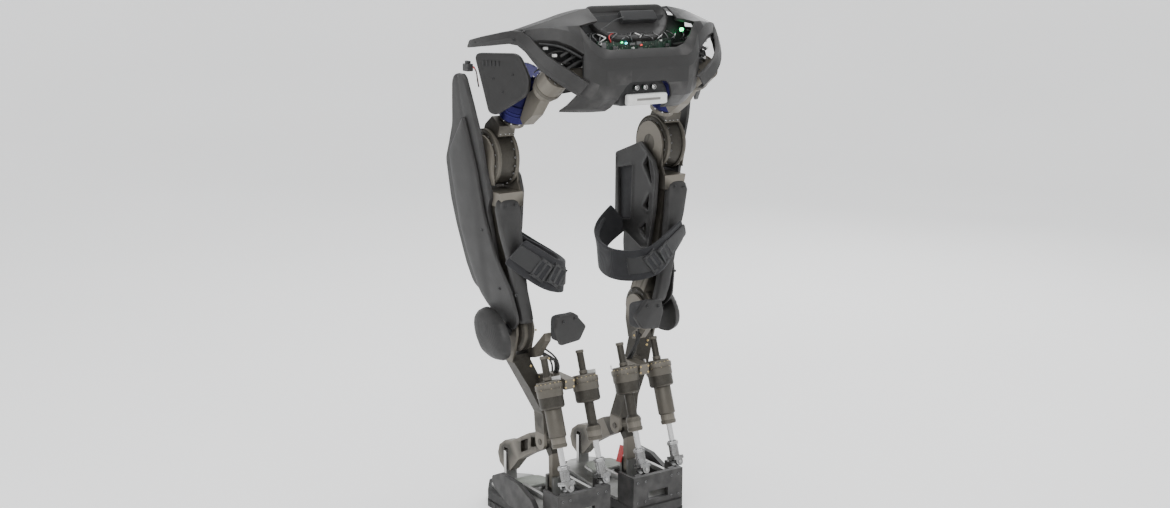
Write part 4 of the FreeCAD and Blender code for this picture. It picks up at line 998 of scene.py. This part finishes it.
def make_thighs():
    side = [(74, 1036), (90, 1020), (107, 975), (126, 922), (161, 872), (186, 838), (198, 746), (196, 682),
            (184, 590), (168, 545), (134, 526), (96, 536), (40, 600), (36, 740), (14, 767), (18, 834),
            (16, 910),
            (24, 975), (32, 1028), (40, 1036)]
    blade = [(54, 950), (148, 862), (155, 824), (160, 753), (164, 688), (152, 609), (130, 534), (92, 498),
             (46, 482), (10, 462), (-22, 490), (-12, 560), (28, 637), (44, 723), (42, 831)]
    truss = [(66, 852), (166, 816), (168, 640), (120, 628), (60, 600), (30, 606), (10, 700), (2, 780),
             (14, 812)]
    windows = [[(98, 792), (156, 780), (152, 656), (104, 664)], [(36, 822), (52, 800), (20, 758)],
               [(30, 732), (52, 702), (34, 694)], [(42, 664), (66, 646), (44, 630)]]

    def groove(x, y, d):
        valley = math.exp(-((x - 66 + (y - 120) * 0.06) / 2.4) ** 2) if y > 60 else 0.0
        return -2.2 * valley

    def facet(x, y, d):
        return 3.0 * (1 - math.exp(-d / 9)) * (0.5 + 0.5 * math.tanh((x - 52 + 0.12 * y) / 9))

    def braces(x, y, d):
        return -2.0 * min(1.0, max(0.0, (d - 5.0) / 2.5))
    for name, sign in SIDES:
        body = "thigh_" + name
        place_object("side_panel_" + name, crowned_plate(lowered(side), cover_frame(0), 9, 2, 3.5, 8, 12,
                                                         relief=groove),
                     body, PLASTIC, sign, node="thigh_side_cover_" + name)
        place_object("blade_panel_" + name, crowned_plate(lowered(blade), cover_frame(11.2), 5.5, 2.2, 3, 8,
                                                          16,
                                                          relief=facet),
                     body, PLASTIC, sign, node="thigh_blade_" + name)
        heads = Build()
        outward = Vector((math.cos(COVER_LEAN), 0, -math.sin(COVER_LEAN)))
        for y, v in ((62, 690), (30, 560)):
            screw(heads, cover_frame(19.3) @ Vector((y, v - HIP_Z, 0)), outward, 3.2, 0.8)
        for x, z in ((239, 752), (214, 755)):
            screw(heads, (x, -22.4, z), (0, -1, 0), 3.0, 0.8)
        screw(heads, (216, -22.4, 556), (0, -1, 0), 3.0, 0.8)
        place_object("thigh_screws_" + name, heads, body, DARK_PLASTIC, sign)
        inward = Matrix(((0, 0, -1, 185), (-1, 0, 0, 0), (0, 1, 0, 0), (0, 0, 0, 1)))
        flat = [(-y, z) for y, z in truss]
        holes = [[(-y, z) for y, z in hole] for hole in windows]
        place_object("truss_panel_" + name, crowned_plate(flat, inward, 8, 0, 2.5, 6, 6, holes,
                                                          relief=braces),
                     body, PLASTIC, sign, node="thigh_truss_" + name)
        levels = [(766, 208, 246, 9), (758, 202, 252, 4), (744, 198, 255, 1), (690, 195, 245, 0),
                  (640, 191, 231, 0),
                  (560, 181, 214, 0), (520, 172, 205, 0), (496, 166, 199, 3), (486, 165, 196, 7)]
        rows = []
        for z, inner, outer, drop in levels:
            rear = -22 + drop
            rows.append([(inner, -1, z), (inner, rear + 9, z), (inner + 2.5, rear + 3, z),
                         (inner + 8, rear, z),
                         ((inner + outer) / 2, rear - 0.6, z), (outer - 8, rear, z),
                         (outer - 2.5, rear + 3, z),
                         (outer, rear + 9, z), (outer, -1, z)])
        place_object("rear_panel_" + name, Build().grid(rows), body, PLASTIC, sign, thick=3.5, bevel=1.2,
                     node="thigh_rear_cover_" + name)
        low, high = box_of("thigh_cuff_right")
        middle, half = (low + high) / 2, (high - low) / 2

        def loop(k, out=0.0):
            """The cuff's line round the thigh, from the truss, k = 0, to the rear cover, k = 8."""
            angle = math.radians(70 + 30 * k)
            dip = ((k - 4.6) / 4.6) ** 2
            return (middle.x + (half.x - 4 + out) * math.cos(angle),
                    middle.y + (half.y - 9 + out) * math.sin(angle),
                    low.z + 37 + 85 * dip)
        end = (high.x + 10, -34, 656)
        path = [(box_of("thigh_truss_right")[0].x - 3, 140, loop(0)[2])] + [loop(k) for k in range(1,
                                                                                                   8)] + [end]
        place_object("cuff_webbing_" + name, strap(path, 72, 5, 0.05), body, WEBBING, sign, subdivide=1,
                     node="thigh_cuff_" + name)
        tail = [loop(k, 4) for k in (5, 6, 7)] + [(end[0] + 3, end[1] - 7, end[2] + 2)]
        place_object("cuff_tail_" + name, strap(tail, 40, 3), body, DARK_PLASTIC, sign, subdivide=1)
        hem = [(p[0], p[1], p[2] + 31) for p in path[1:6]]
        place_object("cuff_hem_" + name, strap(hem, 8, 7, 0.05), body, WEBBING, sign, subdivide=1)
        frames, bands = Build(), Build()
        for centre, out in ((loop(6.4, 6), (-0.05, -1, 0.1)), (loop(7.3, 7), (0.25, -1, 0))):
            buckle(frames, centre, (0.8, 0, 0.6), out)
            z = Vector(out).normalized()
            x = (Vector((0.8, 0, 0.6)) - z * Vector((0.8, 0, 0.6)).dot(z)).normalized()
            place = Matrix.Translation(Vector(centre)) @ Matrix((x, z.cross(x), z)).transposed().to_4x4()
            slab(bands, (-13, -19, -2), (13, 19, 3.2), place)
        place_object("cuff_buckles_" + name, frames, body, DARK_PLASTIC, sign, smooth=False, bevel=1.2)
        place_object("cuff_loops_" + name, bands, body, WEBBING, sign, smooth=False, bevel=1.0)
        backing = Build()
        slab(backing, (187, 92, 652), (191, 160, 800))
        place_object("truss_backing_" + name, backing, body, WEBBING, sign, smooth=False, bevel=1.5)
        block = slab(Build(), (286, 26, 1038), (300, 48, 1054))
        slab(block, (289, 30, 1054), (297, 44, 1060))
        place_object("top_connector_" + name, block, body, DARK_PLASTIC, sign, smooth=False, bevel=1.5)
        for k in range(3):
            tube("top_wire_%d_%s" % (k, name), [(288 - k * 2, 28, 1048), (281, 24 - k * 2, 1044 - k * 3),
                 (277, 26, 1026 - 5 * k), (270, 32, 1004)], 1.3, body, RED if k < 2 else DARK_PLASTIC, sign)


# ------------------------------------------------------------------ knees and shins

def make_knees():
    outline = [(127, 474), (112, 500), (84, 512), (40, 508), (4, 486), (-16, 452), (-14, 420), (10, 402),
               (50, 398), (92, 408), (118, 440)]
    for name, sign in SIDES:
        body = "thigh_" + name
        plane = box_of("knee_cap_right")[1].x - 31
        place = Matrix(((0, 0, 1, plane), (1, 0, 0, 0), (0, 1, 0, 0), (0, 0, 0, 1)))

        def dome(x, y, d):
            radius = math.hypot(x - 60, y - 470)
            fan = 0.0
            if 14 < radius < 74 and y < 484:
                fan = 0.9 * (0.5 + 0.5 * math.cos(radius * 0.9)) * min(1, (74 - radius) / 12)
            return -fan
        place_object("knee_dome_" + name, crowned_plate(outline, place, 11, 16, 9, 3.2, 24, relief=dome,
                                                        reach=14),
                     body, PLASTIC, sign, node="knee_cap_" + name)
        face = box_of("knee_drive_right")[1].x
        stand = lathe(Build(), [(0.05, -1), (18, -1), (18, 5), (14, 8), (14, plane - face),
                                (20, plane - face + 3),
                                (0.05, plane - face + 3)], basis((face, KNEE_Y, KNEE_Z), (1, 0, 0)), 40)
        place_object("knee_stand_" + name, stand, body, DARK_PLASTIC, sign)
        bolts = bolt_ring(Build(), (156, KNEE_Y, KNEE_Z), (-1, 0, 0), 42, 12, 2.2)
        place_object("knee_bolts_" + name, bolts, body, BLACK_STEEL, sign)
        ring = lathe(Build(), [(50.3, 4), (51.4, 5), (51.4, 9), (50.3, 10), (50.3, 20), (51.4, 21),
                               (51.4, 25),
                               (50.3, 26)], basis((156, KNEE_Y, KNEE_Z), (1, 0, 0)), 64)
        place_object("knee_bands_" + name, ring, body, BRONZE, sign)
        make_shin(name, sign)


def pad_block(build, low, high, bulge):
    """A padded block: its faces are crowned and its corners pulled in."""
    lo, hi = Vector(low), Vector(high)
    middle, half = (lo + hi) / 2, (hi - lo) / 2
    n = 6
    rows = {}
    faces = []
    points = []

    def index(u, v, w):
        key = (u, v, w)
        if key not in rows:
            c = Vector((2 * u / n - 1, 2 * v / n - 1, 2 * w / n - 1))
            swell = Vector([1 + bulge * (1 - c[(k + 1) % 3] ** 2) * (1 - c[(k + 2) % 3] ** 2)
                            for k in range(3)])
            pull = 1 - 0.055 * sum(1 for k in range(3) if abs(c[k]) > 0.99)
            rows[key] = len(points)
            points.append(middle + Vector([c[k] * half[k] * swell[k] * pull for k in range(3)]))
        return rows[key]
    for axis in range(3):
        for end in (0, n):
            for i in range(n):
                for j in range(n):
                    quad = []
                    for du, dv in ((0, 0), (1, 0), (1, 1), (0, 1)):
                        cell = [0, 0, 0]
                        cell[axis] = end
                        cell[(axis + 1) % 3] = i + du
                        cell[(axis + 2) % 3] = j + dv
                        quad.append(index(*cell))
                    faces.append(quad if end else list(reversed(quad)))
    return build.add(points, faces)


def make_shin(name, sign):
    body = "shank_" + name
    low, high = box_of("shin_pad_right")
    size = high - low
    pad = pad_block(Build(), (low.x + 8, low.y + 20, low.z + 4), (high.x - 8, high.y - 2, high.z - 8), 0.04)
    thing = place_object("shin_cushion_" + name, pad, body, FOAM, sign, subdivide=1, node="shin_pad_" + name)
    rim = [(0, 0.5), (0.42, 1), (0.92, 0.94), (1, 0.55), (0.84, 0), (0.24, 0.1)]
    outline = [(low.x + u * size.x, low.z + w * size.z) for u, w in rim]
    outward = Matrix(((1, 0, 0, 0), (0, 0, -1, low.y + 20), (0, 1, 0, 0), (0, 0, 0, 1)))

    def fold(x, z, d):
        return -7 * abs((x - low.x) / size.x - 0.25 - 0.4 * (z - low.z) / size.z)
    flap = place_object("shin_flap_" + name, crowned_plate(outline, outward, 14, 3, 2.5, 5, 6, relief=fold),
                        body,
                        PLASTIC, sign)
    studs = Build()
    for u, w in ((0.4, 0.82), (0.78, 0.76)):
        screw(studs, (low.x + u * size.x, low.y + 4, low.z + w * size.z), (0, -1, 0), 3.2, 1.2)
    studs = place_object("shin_studs_" + name, studs, body, DARK_PLASTIC, sign)
    for piece in (thing, flap, studs):
        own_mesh(piece)
    for k in range(5):
        x = 96 + 2.5 * k
        sag = chance.uniform(2, 12)
        tube("shank_lead_%d_%s" % (k, name), [(138, 4 + 4 * k, 412), (122, -6 - sag, 402 - 3 * k),
             (x + 6, -8 - sag, 384 + 3 * k), (x, -8, 368), (x, 0, 357)], 2.1, body, RUBBER, sign)
    heads = Build()
    for y, z in ((-26, 402), (26, 402), (-26, 456), (26, 456)):
        screw(heads, (136, y, z), (-1, 0, 0), 2.6, 1.4)
    for x in (92, 113):
        for z in (339, 353):
            screw(heads, (x, -60, z), (0, -1, 0), 2.2, 1.3)
    for x, z in ((112, 290), (122, 318), (138, 352), (160, 380)):
        screw(heads, (x, 3.5 + (z - 290) * 0.07, z), (0, -1, 0), 2.6, 1.4)
    place_object("shank_bolts_" + name, heads, body, BRASS, sign)
    tube("leg_cable_a_" + name, [(133.7, 8, 421), (124, -8, 413), (110, -19, 396), (103, -18, 376),
                                 (102, -8, 361)],
         2.2, body, RUBBER, sign, node="leg_cables_" + name)
    tube("leg_cable_b_" + name, [(133.7, 16, 414), (127, 3, 404), (117, -4, 390), (111, -3, 374),
                                 (108, 3, 361)],
         2.2, body, RUBBER, sign)


def make_drives():
    axis = Vector((0, math.sin(DRIVE_LEAN), math.cos(DRIVE_LEAN)))
    for name, sign in SIDES:
        motors = "ankle_motors_" + name
        bolts, collars, cans, labels = Build(), Build(), Build(), Build()
        for x in (150, 55):
            centre = Vector((x, DRIVE_Y, DRIVE_Z))
            place = basis(centre, axis)
            bolt_ring(bolts, centre + axis * 5.2, axis, 27.5, 16, 1.7)
            bolt_ring(bolts, centre - axis * 6, -axis, 29.8, 8, 1.2, 0.5)
            lathe(collars, [(8.4, 12), (9.6, 13), (9.6, 20), (8.4, 21)], place, 28)
            lathe(collars, [(8.6, 60), (9.4, 61), (9.4, 66), (7, 67), (4, 66.6)], place, 28)
            lathe(collars, [(16.8, -108), (17.6, -109), (17.6, -114), (16.8, -115)], place, 40)
            lathe(collars, [(16.8, -128), (17.6, -129), (17.6, -134), (16.8, -135)], place, 40)
            lathe(cans, [(28.2, -2), (29.6, -3), (29.6, -22), (28.6, -24), (28.2, -24)], place, 56)
            lathe(cans, [(20, 5), (27, 5.2), (27, 10), (25, 11.5), (12, 12)], place, 40)
            if x > 100:
                lathe(cans, [(11.4, -44), (18, -47), (19.5, -50), (19.5, -112), (17.8, -114), (11.4, -116)],
                      place, 44)
            turned = place @ Matrix.Rotation(math.radians(150), 4, "Z")
            slab(labels, (-17, -29.5, 9), (17, -27.5, 19), turned)
            if x > 100:
                slab(labels, (-6, -31.5, -20), (6, -29.3, -9), turned)
        place_object("drive_bolts_" + name, bolts, motors, BRASS, sign)
        place_object("drive_collars_" + name, collars, motors, BRONZE, sign)
        place_object("drive_cans_" + name, cans, motors, BRONZE, sign)
        place_object("drive_labels_" + name, labels, motors, WHITE, sign, smooth=False, bevel=0.6)
        for x, part in ((150, "outer"), (55, "inner")):
            fork = "clevis_%s_%s" % (part, name)
            nut = Build()
            centre = Vector((x, DRIVE_Y, DRIVE_Z))
            lathe(nut, [(11.2, -178), (13.4, -179), (13.4, -186), (11.2, -187)], basis(centre, axis), 6)
            place_object("fork_nut_%s_%s" % (part, name), nut, fork, STEEL, sign, smooth=False, bevel=0.5)


def make_feet():
    for name, sign in SIDES:
        foot, arm = "foot_" + name, "ankle_arm_" + name
        heads = bolt_ring(Build(), (89, ANKLE_Y, ANKLE_Z), (-1, 0, 0), 13, 6, 2.0)
        bolt_ring(heads, (119, ANKLE_Y, ANKLE_Z), (1, 0, 0), 13, 6, 2.0)
        place_object("hub_bolts_" + name, heads, arm, BRASS, sign)
        heads = Build()
        for x in (44, 66, 140, 160):
            screw(heads, (x, -118, 100), (0, -1, 0), 2.8, 1.5)
            screw(heads, (x, -118, 52), (0, -1, 0), 2.4, 1.4)
        for x, y in ((76, 84), (134, 84), (84, 130), (126, 130), (105, 84)):
            screw(heads, (x, y, 67), (0, 0, 1), 2.8, 1.4)
        place_object("foot_bolts_" + name, heads, foot, BLACK_STEEL, sign)
        tread = Build()
        for k in range(14):
            y = -106 + 20.5 * k
            slab(tread, (179.4, y, 2), (181.2, y + 9, 15))
            slab(tread, (28.8, y, 2), (30.6, y + 9, 15))
        for k in range(7):
            x = 38 + 20 * k
            slab(tread, (x, -125.2, 2), (x + 9, -123.4, 15))
        place_object("tread_lugs_" + name, tread, foot, RUBBER, sign, smooth=False, bevel=0.7)
        tag = Build()
        slab(tag, (-1.2, -10, -20), (1.2, 10, 20), basis((92, 18, 122), (0.35, 0.1, 0.93), (1, 0, 0)))
        place_object("foot_tag_" + name, tag, foot, RED, sign, smooth=False, bevel=1.0)
        plate = [(58, 86), (72, 76), (148, 76), (154, 91), (141, 132), (123, 138), (85, 138), (66, 128)]
        top = Build().loft([[(p.x, p.y, 66.8) for p in rounded(plate, 8)],
                            [(p.x, p.y, 68.4) for p in rounded(plate, 8)]])
        place_object("toe_skin_" + name, top, foot, GREEN_PLATE, sign, bevel=0.5)


make_shell()
make_rails()
make_hatch()
make_pelvis_details()
make_hips()
make_thighs()
make_knees()
make_drives()
make_feet()
